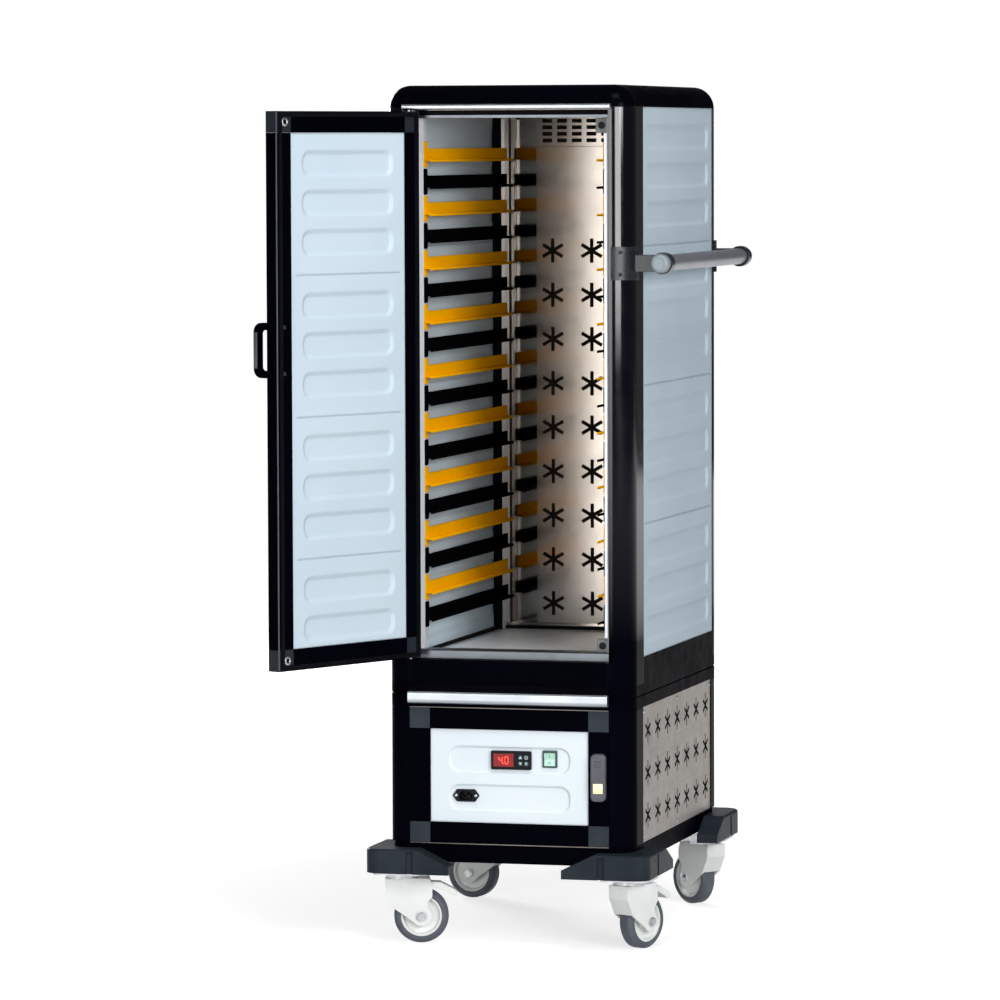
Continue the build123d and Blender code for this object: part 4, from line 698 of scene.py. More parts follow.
@dataclass
class Door:
    """The open door: bow handle with a painted highlight on its front, a bead on its free edge that
    also paints that edge's highlight, catch rings and screws.

    Attributes:
        hinge: Place of the hinge axis.
        along: Way from the hinge to the free edge as the door stands.
        outer: Depth of the outer face from the hinge axis.
        inner: Depth of the inner face.
        ring_u: Distance of the catch rings from the hinge.
        ring: Outline of a catch ring.
        core: Outline of the plug in a catch ring.
        hinge_side_u: Distance of the hinge side's screws from the hinge.
        free_side_u: Distance of the free side's screws from the hinge.
        corner_z: Heights of the corner connectors.
        corner_screw: Radius and rise of their screws.
        handle_z: Height of the handle's middle.
        handle_reach: Distance of the handle's screws from its middle.
        handle_screw: Radius and rise of those screws.
        bead: Width of the grey bead on the free edge, a corner bead that also paints that edge's
            highlight.
        bead_short: How much shorter than the door's frame the bead is.
        probe: Start from the hinge and depth of the line that finds the free edge.
        bow_u: Distances of the handle's two sides from the hinge.
        bow_d: Distances of its inner and outer face from the hinge axis.
        bow_z: Its bottom and top.
        bow_round: Radius of its outer and inner corners.
        bow_leg: Thickness of its legs.
        bow_edge: Radius of its rims.
        bow_sunk: How deep its feet go into the door.
        highlight_strip: What the grey strip that paints the highlight on the handle's front leaves
            free in width, in legs at its ends, and its thickness.
    """

    hinge: Pair = (-185.0, -347.0)
    along: Pair = (-0.43051, -0.90259)
    outer: float = 5.0
    inner: float = -20.0
    ring_u: float = 353.4
    ring: Profile = ((4.4, 0.4), (4.4, 1.7), (5.2, 2.3), (6.8, 2.3), (7.9, 1.7), (8.3, 0.8),
                     (8.3, -SUNK))
    core: Profile = ((0.0, 0.9), (3.2, 0.9), (3.6, 0.5), (4.5, 0.4))
    hinge_side_u: float = 14.0
    free_side_u: float = 356.0
    corner_z: Pair = (548.0, 1500.0)
    corner_screw: Pair = (4.6, 2.2)
    handle_z: float = 1097.0
    handle_reach: float = 41.0
    handle_screw: Pair = (3.8, 1.6)
    bead: float = 2.2
    bead_short: float = 4.0
    probe: Pair = (600.0, 4.0)
    bow_u: Pair = (357.0, 371.0)
    bow_d: Pair = (30.0, 42.0)
    bow_z: Pair = (1048.0, 1146.0)
    bow_round: Pair = (17.0, 7.0)
    bow_leg: float = 13.0
    bow_edge: float = 1.6
    bow_sunk: float = 0.2
    highlight_strip: Triple = (4.0, 2.6, 1.2)

    def ways(self) -> tuple[Vector, Vector]:
        """Gives the ways to the free edge and out of the outer face."""
        return Vector((*self.along, 0.0)), Vector((self.along[1], -self.along[0], 0.0))

    def point(self, u: float, depth: float, z: float) -> Vector:
        """Gives a point of the door as it stands.

        Args:
            u: Distance from the hinge.
            depth: Depth from the hinge axis, outwards.
            z: Height over the floor.

        Returns:
            The point.
        """
        along, out = self.ways()
        return Vector((*self.hinge, z)) + along * u + out * depth

    def spot(self, u: float, z: float, inside: bool) -> Matrix:
        """Gives a place on one of the door's faces.

        Args:
            u: Distance from the hinge.
            z: Height over the floor.
            inside: True for the inner face.

        Returns:
            The place, facing out of that face.
        """
        _, out = self.ways()
        if inside:
            return facing(self.point(u, self.inner, z), -out)
        return facing(self.point(u, self.outer, z), out)

    def handle(self) -> None:
        """Makes the bow handle, which stands for the plain one, with a grey strip that paints the
        highlight on its front.
        """
        along, out = self.ways()
        (first, last), (depth, reach), (low, high) = self.bow_u, self.bow_d, self.bow_z
        (outer, inner), leg = self.bow_round, self.bow_leg
        foot = self.outer - self.bow_sunk
        outline = [
            (foot, low),
            *arc((reach - outer, low + outer), outer, -90.0, 0.0),
            *arc((reach - outer, high - outer), outer, 0.0, 90.0),
            (foot, high), (foot, high - leg),
            *arc((depth - inner, high - leg - inner), inner, 90.0, 0.0),
            *arc((depth - inner, low + leg + inner), inner, 0.0, -90.0),
            (foot, low + leg)]
        turn = Matrix((out, Vector(UP), -along)).transposed().to_4x4()
        bow, highlight_strip = Shape(), Shape()
        bow.plate(outline, last - first, Matrix.Translation(self.point(last, 0.0, 0.0)) @ turn,
                  self.bow_edge, True)
        centre = self.point(last, (reach + depth) / 2, (low + high) / 2)
        # The grey strip on the handle's front is a painted highlight.
        margin, ends, thickness = self.highlight_strip
        highlight_strip.block((reach - depth - margin, high - low - ends * leg, thickness),
                   Matrix.Translation(centre) @ turn)
        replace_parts(bow.finish("door_handle_bow", LACQUER, "door", "frame_black"), "door_handle")
        highlight_strip.finish("door_handle_painted_highlight", HOUSING, "door", "connector")

    def edge_highlight_bead(self) -> None:
        """Makes the thin grey bead along the free edge of the inner face, a corner bead that also
        paints the edge's highlight.
        """
        along, out = self.ways()
        start, depth = self.probe
        end, _ = landing("door_frame", self.point(start, self.inner + depth, self.handle_z), -along)
        corner = end - out * depth
        low, high = corners("door_frame")
        place = facing((corner.x, corner.y, (low.z + high.z) / 2), out)
        bead = Shape()
        bead.block((self.bead, self.bead, high.z - low.z - self.bead_short),
                   place @ Matrix.Rotation(QUARTER, 4, "X"))
        bead.finish("door_edge_highlight_bead", HOUSING, "door", "connector")

    def build(self) -> None:
        """Makes the small pieces that ride on the door."""
        rings, cores, screws, inside = Shape(), Shape(), Shape(), Shape()
        for z in self.corner_z:
            place = self.spot(self.ring_u, z, True)
            rings.turned(self.ring, place, steps=32)
            cores.turned(self.core, place)
            for u in (self.hinge_side_u, self.free_side_u):
                screws.screw(self.spot(u, z, False), self.corner_screw)
        for side in SIDES:
            z = self.handle_z + side * self.handle_reach
            inside.screw(self.spot(self.free_side_u, z, True), self.handle_screw)
        inside.finish("handle_screws", CONNECTOR, "door", "connector")
        rings.finish("door_catch_rings", ZINC, "door", "zinc")
        cores.finish("door_catch_cores", DEVICE, "door", "device_black")
        self.edge_highlight_bead()
        self.handle()
        screws.finish("door_screws", ZINC, "door", "zinc")


@dataclass
class Cavity:
    """Inside of the cart: sunken floor, rear corners, seals, door catches and a dark sheet that
    paints the shade behind the duct.

    Attributes:
        catch_x: Left and right side of a catch.
        catch_y: Front and back of a catch.
        catch_z: Bottom and top of each catch.
        pad: Outline of the pad on a catch.
        shade_sheet_y: Front and back of the dark sheet behind the duct's vents, which paints the
            shade there.
        shade_sheet_x: Half width of that sheet.
        shade_sheet_z: Bottom and top of each piece of that sheet.
        upright_x: Distance of a rear upright from the centre.
        upright_y: Middle of the seal before a rear upright.
        upright_z: Bottom and top of that seal.
        upright_width: Its width.
        seal: Its thickness.
        filler_y: Front and back of the filler beside an upright, behind the seal's middle.
        filler_play: Gap between that filler and the wall.
        wall_probe: Point from which the right-hand wall is found.
        bead: Size of the bead round the cavity's floor.
        floor_x: Distance of the side beads from the centre.
        floor_y: Front and back of the side beads.
        floor_z: Height of the beads.
        floor_back: Place of the bead before the duct.
        pan_top: Top of the sunken floor.
        plinth_z: Top of the plinth under the duct.
        plinth_y: Front of that plinth.
        plinth_play: Gaps beside it, and before and behind it.
        plinth_sunk: How deep it goes into the floor.
        corner_y: Front of each rib of the strips behind the rear uprights.
        corner_rib: Width and depth of such a rib.
        foot_y: Front and back of an upright's foot, behind the seal's middle.
    """

    catch_x: Pair = (157.0, 179.6)
    catch_y: Pair = (-322.6, -309.0)
    catch_z: tuple[Pair, ...] = ((541.0, 566.0), (1479.0, 1506.5))
    pad: Profile = ((0.0, 0.25), (6.0, 0.25), (6.6, 0.05), (6.6, -1.0))
    shade_sheet_y: Pair = (276.6, 278.2)
    shade_sheet_x: float = 106.8
    shade_sheet_z: tuple[Pair, ...] = ((542.0, 1453.0), (1456.5, 1514.0))
    upright_x: float = 173.6
    upright_y: float = 239.9
    upright_z: Pair = (529.5, 1512.0)
    upright_width: float = 8.8
    seal: float = 1.2
    filler_y: Pair = (1.0, 21.0)
    filler_play: float = 0.1
    wall_probe: Triple = (0.0, 200.0, 1000.0)
    bead: float = 6.5
    floor_x: float = 183.0
    floor_y: Pair = (-284.0, 306.0)
    floor_z: float = 532.0
    floor_back: float = 270.0
    pan_top: float = 529.0
    plinth_z: float = 541.5
    plinth_y: float = 274.6
    plinth_play: Pair = (0.2, 0.1)
    plinth_sunk: float = 2.0
    corner_y: tuple[float, ...] = (263.4, 276.0, 288.6)
    corner_rib: Pair = (7.6, 11.0)
    foot_y: Pair = (0.7, 22.7)

    def pan(self) -> None:
        """Makes the sunken floor and the plinth that the duct stands on."""
        low, high = corners("cavity_floor")
        beside, before = self.plinth_play
        floor, plinth = Shape(), Shape()
        floor.span(tuple(low), (high.x, high.y, self.pan_top), Rounding.PAN)
        plinth.span((low.x + beside, self.plinth_y + before, self.pan_top - self.plinth_sunk),
                    (high.x - beside, high.y - before, self.plinth_z), Rounding.CRISP)
        plinth.finish("duct_plinth", STEEL_LEVEL, "cabinet", "stainless")
        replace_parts(floor.finish("cavity_floor_pan", STEEL_DEEP, "cabinet", "stainless"),
                    "cavity_floor")

    def rear_corners(self) -> None:
        """Makes the ribbed strips behind the rear uprights, and the uprights' feet."""
        strips = Shape()
        low, high = self.upright_z
        half, deep = self.corner_rib[0] / 2, self.corner_rib[1]
        for y in self.corner_y:
            strips.twin((self.upright_x - half, y, low), (self.upright_x + half, y + deep, high),
                        Rounding.RIB)
        half = self.upright_width / 2
        front, back = (self.upright_y + y for y in self.foot_y)
        strips.twin((self.upright_x - half, front, self.pan_top),
                    (self.upright_x + half, back, self.plinth_z), Rounding.STRIP)
        strips.finish("rear_corner_strips", UPRIGHT, "cabinet", "aluminium")

    def seals(self) -> None:
        """Makes the seals at the rear uprights and the beads round the floor."""
        wall, _ = landing("side_walls", self.wall_probe, RIGHT)
        seals = Shape()
        low, high = self.upright_z
        inner, outer = (self.upright_x + side * self.upright_width / 2 for side in SIDES)
        half = self.seal / 2
        seals.twin((inner, self.upright_y - half, low), (outer, self.upright_y + half, high),
                   Rounding.SHEET)
        front, back = (self.upright_y + y for y in self.filler_y)
        seals.twin((outer - self.filler_play, front, low), (wall.x - self.filler_play, back, high),
                   Rounding.STRIP)
        half = self.bead / 2
        low, high = self.floor_z - half, self.floor_z + half
        seals.twin((self.floor_x - half, self.floor_y[0], low),
                   (self.floor_x + half, self.floor_y[1], high), Rounding.BEAD)
        seals.span((-self.floor_x, self.floor_back - half, low),
                   (self.floor_x, self.floor_back + half, high), Rounding.BEAD)
        seals.finish("cavity_seals", GASKET, "cabinet", "gasket")

    def build(self) -> None:
        """Makes the floor pan, the rear corners, the seals, the catches and the dark sheet of
        painted shade behind the duct.
        """
        self.pan()
        self.rear_corners()
        self.seals()
        catches, pads, shade_sheet = Shape(), Shape(), Shape()
        (left, right), (front, back) = self.catch_x, self.catch_y
        for low, high in self.catch_z:
            catches.span((left, front, low), (right, back, high), Rounding.CATCH)
            centre = ((left + right) / 2, front, (low + high) / 2)
            pads.turned(self.pad, facing(centre, FRONT), steps=28)
        # The dark sheet behind the duct's cut-outs is painted shade.
        for low, high in self.shade_sheet_z:
            shade_sheet.span((-self.shade_sheet_x, self.shade_sheet_y[0], low),
                        (self.shade_sheet_x, self.shade_sheet_y[1], high), Rounding.SHEET)
        catches.finish("door_catches", CATCH, "cabinet", "connector")
        pads.finish("door_catch_pads", DEVICE, "cabinet", "device_black")
        shade_sheet.finish("duct_shade_sheet", SHADE_SHEET, "cabinet", "device_black")


@dataclass
class Rack:
    """Tray rails of thin moulded profile: a web with a tall front clip, and a shelf at its foot.

    Attributes:
        first: Height of the lowest rail.
        pitch: Distance between two rails.
        count: Rails on a side.
        seat_x: Outer face of a rail.
        wall: Thickness of the profile.
        shelf: Width of the shelf.
        shelf_swell: How much the shelf is thicker than the wall, above and below.
        lip: How far the shelf's lip reaches below and above the web's foot.
        front: Front end of a rail.
        back: Back end of a rail.
        height: Height of the web.
        clip: Length and height of the front clip.
        nose: Cut of the clip's front corners.
        cut: Cut of its other corners.
        chamfer: Chamfer of the web's edges.
    """

    first: float = 603.0
    pitch: float = 49.3
    count: int = 18
    seat_x: float = 169.0
    wall: float = 2.0
    shelf: float = 14.0
    shelf_swell: float = 0.2
    lip: Pair = (2.6, 1.4)
    front: float = -308.0
    back: float = 274.3
    height: float = 22.0
    clip: Pair = (22.0, 47.0)
    nose: float = 2.0
    cut: float = 3.0
    chamfer: float = 0.35

    def web(self) -> list[Pair]:
        """Works out the outline of a rail's web with its clip.

        Returns:
            Depth and height of each corner.
        """
        half, tall = self.height / 2, self.clip[1] / 2
        front, end, nose, cut = self.front, self.front + self.clip[0], self.nose, self.cut
        return [(front, -tall + nose), (front + nose, -tall), (end - cut, -tall),
                (end, -tall + cut), (end, -half - cut), (end + cut, -half), (self.back, -half),
                (self.back, half), (end + cut, half), (end, half + cut), (end, tall - cut),
                (end - cut, tall), (front + nose, tall), (front, tall - nose)]

    def rails(self, shape: Shape, z: float) -> None:
        """Adds the two rails of a row.

        Args:
            shape: Shape that takes them.
            z: Height of their middle.
        """
        for foot in (-self.seat_x, self.seat_x - self.wall):
            shape.plate(self.web(), self.wall, facing((foot, 0.0, z), RIGHT), self.chamfer)
        low, inner = z - self.height / 2, self.seat_x - self.shelf
        shape.twin((inner, self.front, low - self.shelf_swell),
                   (self.seat_x, self.back, low + self.wall + self.shelf_swell), Rounding.RAIL)
        shape.twin((inner, self.front, low - self.lip[0]),
                   (inner + self.wall, self.back, low + self.lip[1]), Rounding.RAIL)

    def build(self) -> None:
        """Makes the yellow and the black rails, which stand for the plain ones."""
        for offset, (name, finish) in enumerate((("rails_black", RAIL_BLACK),
                                                 ("rails_yellow", RAIL_YELLOW))):
            rails = Shape()
            for row in range(offset, self.count, 2):
                self.rails(rails, self.first + self.pitch * row)
            piece = rails.finish(name + "_profile", finish, "cabinet",
                                 name.replace("rails", "rail"))
            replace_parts(piece, name)


class Segment(Enum):
    """The strokes of a lit digit: middle in digit widths and heights, and whether it lies flat."""

    TOP = (0.0, 0.5, True)
    UPPER_RIGHT = (0.5, 0.25, False)
    LOWER_RIGHT = (0.5, -0.25, False)
    BOTTOM = (0.0, -0.5, True)
    LOWER_LEFT = (-0.5, -0.25, False)
    UPPER_LEFT = (-0.5, 0.25, False)
    MIDDLE = (0.0, 0.0, True)


FOUR = (Segment.UPPER_LEFT, Segment.MIDDLE, Segment.UPPER_RIGHT, Segment.LOWER_RIGHT)
ZERO = (Segment.TOP, Segment.UPPER_RIGHT, Segment.LOWER_RIGHT, Segment.BOTTOM,
        Segment.LOWER_LEFT, Segment.UPPER_LEFT)


def oblong(width: float, height: float) -> list[Pair]:
    """Gives the corners of an oblong about its middle."""
    x, y = width / 2, height / 2
    return [(-x, -y), (x, -y), (x, y), (-x, y)]


@dataclass
class ControlFront:
    """Fittings of the control panel: lit digits, key marks, switch marks, screws and bright beads
    that paint the highlights on the frame's edges.

    Attributes:
        digit: Width and height of a lit digit.
        digit_pitch: Distance between two digits.
        stroke: Width of a stroke.
        stroke_gap: What a stroke leaves free at each end.
        dot: Outline of the point between the digits.
        print_rise: Height of the digits and of the rocker's stroke.
        key_rise: Height of a key's mark.
        arrow: Outline of the arrow on a key.
        key_ring: Outline of the ring on a key.
        star_ray: Length and width of a ray of the star on a key.
        rocker_lift: Distance of the rocker's marks from its middle.
        rocker_ring: Outline of the ring on the rocker.
        rocker_stroke: Width and height of the stroke on the rocker.
        probe_y: Depth from which a fitting's seat is found.
        flange_screw_x: Distance of the inlet's screws from its middle.
        flange_screw: Radius and rise of those screws.
        rib: Width, depth and height of a rib on the indicator.
        rib_rows: Number of those ribs.
        rib_top: Distance of the first rib from the indicator's top.
        rib_pitch: Distance between two ribs.
        rib_proud: How far a rib's middle lies before the indicator.
        frame_bead: Depth and height of a bright bead over or under the control frame, which paints
            the highlight on that edge.
        frame_bead_in: How far its middle lies behind the frame's front.
    """

    digit: Pair = (6.4, 13.0)
    digit_pitch: float = 11.0
    stroke: float = 2.1
    stroke_gap: float = 0.3
    dot: Profile = ((0.0, 0.12), (1.1, 0.12), (1.1, -0.1))
    print_rise: float = 0.12
    key_rise: float = 0.15
    arrow: Profile = ((-3.2, -2.2), (3.2, -2.2), (0.0, 3.0))
    key_ring: Profile = ((2.0, 0.0), (2.0, 0.15), (3.2, 0.15), (3.2, 0.0))
    star_ray: Pair = (6.6, 1.0)
    rocker_lift: float = 6.0
    rocker_ring: Profile = ((1.7, -0.1), (1.7, 0.12), (2.4, 0.12), (2.4, -0.1))
    rocker_stroke: Pair = (0.8, 4.8)
    probe_y: float = -500.0
    flange_screw_x: float = 18.6
    flange_screw: Pair = (2.7, 1.1)
    rib: Triple = (14.0, 1.2, 2.0)
    rib_rows: int = 3
    rib_top: float = 14.0
    rib_pitch: float = 5.0
    rib_proud: float = 0.2
    frame_bead: Pair = (3.0, 1.6)
    frame_bead_in: float = 1.0

    def seat(self, node: str, x: float, z: float) -> Matrix:
        """Finds the place of a fitting on the front of a node.

        Args:
            node: Name of the node.
            x: Distance from the node's middle to the right.
            z: Distance from the node's middle upwards.

        Returns:
            The place, facing out of the surface.
        """
        centre = middle(node)
        return facing(*landing(node, (centre.x + x, self.probe_y, centre.z + z), BACK))

    def digits(self) -> None:
        """Makes the lit reading on the display window."""
        front = corners("thermostat_window")[0].y
        centre = middle("thermostat_window")
        lit = Shape()
        half = self.stroke / 2
        for place, strokes in ((-0.5, FOUR), (0.5, ZERO)):
            for stroke in strokes:
                x, z, level = stroke.value
                reach = (self.digit[0] if level else self.digit[1] / 2) / 2 - self.stroke_gap
                outline = [(-reach, 0.0), (-reach + half, -half), (reach - half, -half),
                           (reach, 0.0), (reach - half, half), (-reach + half, half)]
                at = (centre.x + place * self.digit_pitch + x * self.digit[0], front,
                      centre.z + z * self.digit[1])
                lit.plate(outline, self.print_rise, facing(at, FRONT, 0.0 if level else 90.0))
        foot = (centre.x, front, centre.z - self.digit[1] / 2)
        lit.turned(self.dot, facing(foot, FRONT), steps=16)
        lit.finish("display_digits", DIGIT, "cabinet", "display")

    def key_marks(self) -> None:
        """Makes the raised mark of each key."""
        for key in ("key_up", "key_down", "key_set", "key_defrost"):
            centre = middle(key)
            at = (centre.x, corners(key)[0].y, centre.z)
            mark = Shape()
            if key == "key_set":
                mark.turned(self.key_ring, facing(at, FRONT), steps=20)
            elif key == "key_defrost":
                for angle in (0.0, 60.0, 120.0):
                    mark.plate(oblong(*self.star_ray), self.key_rise, facing(at, FRONT, angle))
            else:
                spin = 180.0 if key == "key_down" else 0.0
                mark.plate(self.arrow, self.key_rise, facing(at, FRONT, spin))
            mark.finish(key + "_mark", MARK, key, "key")

    def switch_marks(self) -> None:
        """Makes the stroke and ring on the rocker."""
        marks = Shape()
        marks.plate(oblong(*self.rocker_stroke), self.print_rise,
                    self.seat("switch_rocker", 0.0, self.rocker_lift))
        marks.turned(self.rocker_ring, self.seat("switch_rocker", 0.0, -self.rocker_lift))
        marks.finish("rocker_marks", GREEN, "rocker", "switch_green")

    def screws(self) -> None:
        """Makes the screws of the power inlet and the ribs on the indicator's housing."""
        small = Shape()
        for side in SIDES:
            small.screw(self.seat("power_inlet", side * self.flange_screw_x, 0.0),
                        self.flange_screw)
        small.finish("inlet_screws", ZINC, "cabinet", "zinc")
        low, high = corners("indicator_housing")
        ribs = Shape()
        for row in range(self.rib_rows):
            at = ((low.x + high.x) / 2, low.y - self.rib_proud,
                  high.z - self.rib_top - self.rib_pitch * row)
            ribs.block(self.rib, Matrix.Translation(at))
        ribs.finish("indicator_ribs", HOUSING, "cabinet", "device_black")

    def frame_highlight_beads(self) -> None:
        """Makes the thin bright beads over and under the control frame, which paint the highlights
        on its edges.
        """
        beads = Shape()
        low, high = corners("control_frame")
        deep, tall = self.frame_bead
        for z in (low.z - tall / 2, high.z + tall / 2):
            beads.block((high.x - low.x, deep, tall),
                        Matrix.Translation((0.0, low.y + self.frame_bead_in, z)))
        beads.finish("control_frame_highlight_beads", STEEL_VENT, "cabinet", "aluminium")

    def build(self) -> None:
        """Makes all the small fittings."""
        self.digits()
        self.key_marks()
        self.switch_marks()
        self.screws()
        self.frame_highlight_beads()


@dataclass
class MachineBay:
    """Machine compartment: screws of its sheets, dark mats that paint the shade behind the side
    vents, and hoods over the rear louvres.

    Attributes:
        sheet_y: Rows of screws along a side sheet.
        sheet_z: Heights of the screws.
        sheet_screw: Radius and rise of a screw.
        side_x: Outer face of a side sheet.
        rear_y: Outer face of the rear sheet.
        rear_x: Rows of screws across the rear sheet.
        hood: Width, height and reach of a hood.
        hood_x: Distance of a hood's middle from the centre.
        hood_z: Height of the middle row.
        hood_pitch: Distance between two rows.
        hood_rows: Rows of hoods.
        hood_shoulder: Place of a hood's bend, in shares of its reach and height.
        hood_root: How far its inner side reaches out at the sheet, and its height there as a share.
        hood_wall: Thickness of a hood at its edge.
        hood_chamfer: Chamfer of its edges.
        mat_x: Inner and outer face of a dark mat of painted shade.
        mat_y: Front and back of such a mat.
        mat_z: Bottom and top of such a mat.
    """

    sheet_y: tuple[float, ...] = (-256.0, 11.0, 278.0)
    sheet_z: tuple[float, ...] = (199.0, 429.0)
    sheet_screw: Pair = (3.6, 1.4)
    side_x: float = 228.5
    rear_y: float = 350.5
    rear_x: tuple[float, ...] = (-176.0, 0.0, 176.0)
    hood: Triple = (142.0, 9.0, 3.6)
    hood_x: float = 85.0
    hood_z: float = 314.0
    hood_pitch: float = 18.0
    hood_rows: int = 11
    hood_shoulder: Pair = (0.35, 0.15)
    hood_root: Pair = (0.2, 0.35)
    hood_wall: float = 0.8
    hood_chamfer: float = 0.15
    mat_x: Pair = (223.6, 225.8)
    mat_y: Pair = (-258.0, 280.0)
    mat_z: Pair = (198.0, 430.0)

    def vent_shade_mats(self) -> None:
        """Makes the dark mats behind the vents of the side sheets, which paint the shade inside the
        bay.
        """
        mats = Shape()
        first, second = zip(self.mat_x, self.mat_y, self.mat_z)
        mats.twin(first, second, Rounding.SHEET)
        mats.finish("vent_shade_mats", SHADE_SHEET, "cabinet", "device_black")

    def louvre_hoods(self, hoods: Shape) -> None:
        """Adds the hoods over the louvres.

        Args:
            hoods: Shape that takes them.
        """
        width, height, reach = self.hood
        (out, down), (root, share) = self.hood_shoulder, self.hood_root
        outline = [(0.0, 0.0), (-out * reach, -down * height), (-reach, -height),
                   (-reach + self.hood_wall, -height), (-root, -share * height)]
        turn = Matrix.Rotation(QUARTER, 4, "Y") @ Matrix.Translation((0.0, 0.0, -width / 2))
        for row in range(self.hood_rows):
            z = self.hood_z + (row - (self.hood_rows - 1) / 2) * self.hood_pitch + height / 2
            for side in SIDES:
                place = facing((side * self.hood_x, self.rear_y, z), BACK)
                hoods.plate(outline, width, place @ turn, self.hood_chamfer)

    def build(self) -> None:
        """Makes the mats, the screws and the hoods."""
        self.vent_shade_mats()
        screws, hoods = Shape(), Shape()
        for z in self.sheet_z:
            for side in SIDES:
                for y in self.sheet_y:
                    place = facing((side * self.side_x, y, z), (side, 0.0, 0.0))
                    screws.screw(place, self.sheet_screw)
            for x in self.rear_x:
                screws.screw(facing((x, self.rear_y, z), BACK), self.sheet_screw)
        self.louvre_hoods(hoods)
        screws.finish("sheet_screws", ZINC, "cabinet", "zinc")
        hoods.finish("louvre_hoods", STEEL_VENT, "cabinet", "stainless")


@dataclass
class PushBar:
    """Push bar: screws of its saddles and the ring on each end cap.

    Attributes:
        centre: Middle of a post's rounding, as distances from the centre planes.
        bar: X and Z of the bar's axis.
        cap_y: Distance of the cap's face from the centre plane.
        ring: Outline of the ring on a cap.
        saddle_lift: Distance of a saddle's screws from the bar's height.
        saddle_turn: Angle round the rounding at which the screws sit, in degrees.
        saddle_screw: Radius and rise of a screw.
        probe: Distance from the rounding's middle at which the search for the saddle starts.
    """

    centre: Pair = (190.0, 312.0)
    bar: Pair = (281.0, 1245.0)
    cap_y: float = 352.0
    ring: Profile = ((9.4, -SUNK), (9.4, 0.35), (10.0, 0.6), (10.8, 0.6), (11.4, 0.3),
                     (11.4, -SUNK))
    saddle_lift: float = 20.0
    saddle_turn: float = 26.0
    saddle_screw: Pair = (3.6, 1.6)
    probe: float = 200.0

    def build(self) -> None:
        """Makes the screws and the cap rings."""
        screws, rings = Shape(), Shape()
        turn = math.radians(self.saddle_turn)
        x, height = self.bar
        for end in SIDES:
            way = Vector((-math.sin(turn), -end * math.cos(turn), 0.0))
            for side in SIDES:
                hub = Vector((self.centre[0], end * self.centre[1],
                              height + side * self.saddle_lift))
                seat = landing("push_bar_brackets", hub - way * self.probe, way)
                screws.screw(facing(*seat), self.saddle_screw)
            cap = facing((x, end * self.cap_y, height), (0.0, end, 0.0))
            rings.turned(self.ring, cap, steps=28)
        screws.finish("saddle_screws", CONNECTOR, "cabinet", "connector")
        rings.finish("bar_cap_rings", BAR_CAP, "cabinet", "bar_cap")


# Distances of the swivel axes from the centre planes
SWIVEL_X, SWIVEL_Y = 214.0, 310.0


@dataclass
class Caster:
    """One swivel caster: plate bolts, bearing ring, axle nuts and the ribs of a brake pedal.

    Attributes:
        corner: Name of its corner.
        axis: Place of its swivel axis.
        pedal: True where it has a brake pedal.
        plate_z: Underside of the mounting plate.
        bolt: Distances of the plate bolts from the swivel axis.
        bolt_head: Radius and rise of a plate bolt.
        axle_nut: Radius and rise of an axle nut.
        bearing: Outline of the bearing ring.
        bearing_drop: Distance of its foot from the plate.
        rib_reach: Distances of the pedal's ribs from the swivel axis.
        rib: Depth, width and height of a rib.
        probe_axle: Distance from the wheel's middle at which the search for the fork starts.
        probe_z: Height from which the pedal's top is found.
    """

    corner: str
    axis: Pair
    pedal: bool
    plate_z: float = 131.0
    bolt: Pair = (37.0, 31.0)
    bolt_head: Pair = (6.0, 3.6)
    axle_nut: Pair = (6.6, 3.2)
    bearing: Profile = ((20.0, 0.0), (27.0, 0.0), (29.0, 1.4), (29.0, 4.4), (27.0, 6.0),
                        (20.0, 6.0))
    bearing_drop: float = 8.0
    rib_reach: tuple[float, ...] = (82.0, 87.0, 92.0, 97.0)
    rib: Triple = (1.8, 18.0, 1.6)
    probe_axle: float = 120.0
    probe_z: float = 400.0

    def pedal_ribs(self, trail: Vector) -> None:
        """Makes the ribs on the brake pedal.

        Args:
            trail: Way from the swivel axis to the wheel.
        """
        ribs = Shape()
        turn = Matrix.Rotation(math.atan2(trail.y, trail.x), 4, "Z")
        for reach in self.rib_reach:
            over = Vector((*self.axis, self.probe_z)) + trail * reach
            point, _ = landing(f"caster_{self.corner}_pedal", over, DOWN)
            ribs.block(self.rib, Matrix.Translation(point) @ turn)
        ribs.finish(f"caster_{self.corner}_pedal_ribs", NYLON, "pedal_" + self.corner,
                    "caster_white")

    def build(self) -> None:
        """Makes the caster's small pieces."""
        swivel = "swivel_" + self.corner
        hub = middle(f"caster_{self.corner}_tyre")
        x, y = self.axis
        trail = Vector((hub.x - x, hub.y - y, 0.0)).normalized()
        axle = Vector((-trail.y, trail.x, 0.0))
        bolts, nuts, ring = Shape(), Shape(), Shape()
        for side in SIDES:
            for end in SIDES:
                at = (x + side * self.bolt[0], y + end * self.bolt[1], self.plate_z)
                bolts.nut(facing(at, DOWN), self.bolt_head)
            way = axle * side
            point, _ = landing(f"caster_{self.corner}_fork", hub + way * self.probe_axle, -way)
            nuts.nut(facing(point, way), self.axle_nut)
        foot = Matrix.Translation((x, y, self.plate_z - self.bearing_drop))
        ring.turned(self.bearing, foot, steps=40)
        bolts.finish(f"caster_{self.corner}_bolts", ZINC, "cabinet", "zinc")
        nuts.finish(f"caster_{self.corner}_nuts", ZINC, swivel, "zinc")
        ring.finish(f"caster_{self.corner}_bearing", ZINC, swivel, "zinc")
        if self.pedal:
            self.pedal_ribs(trail)


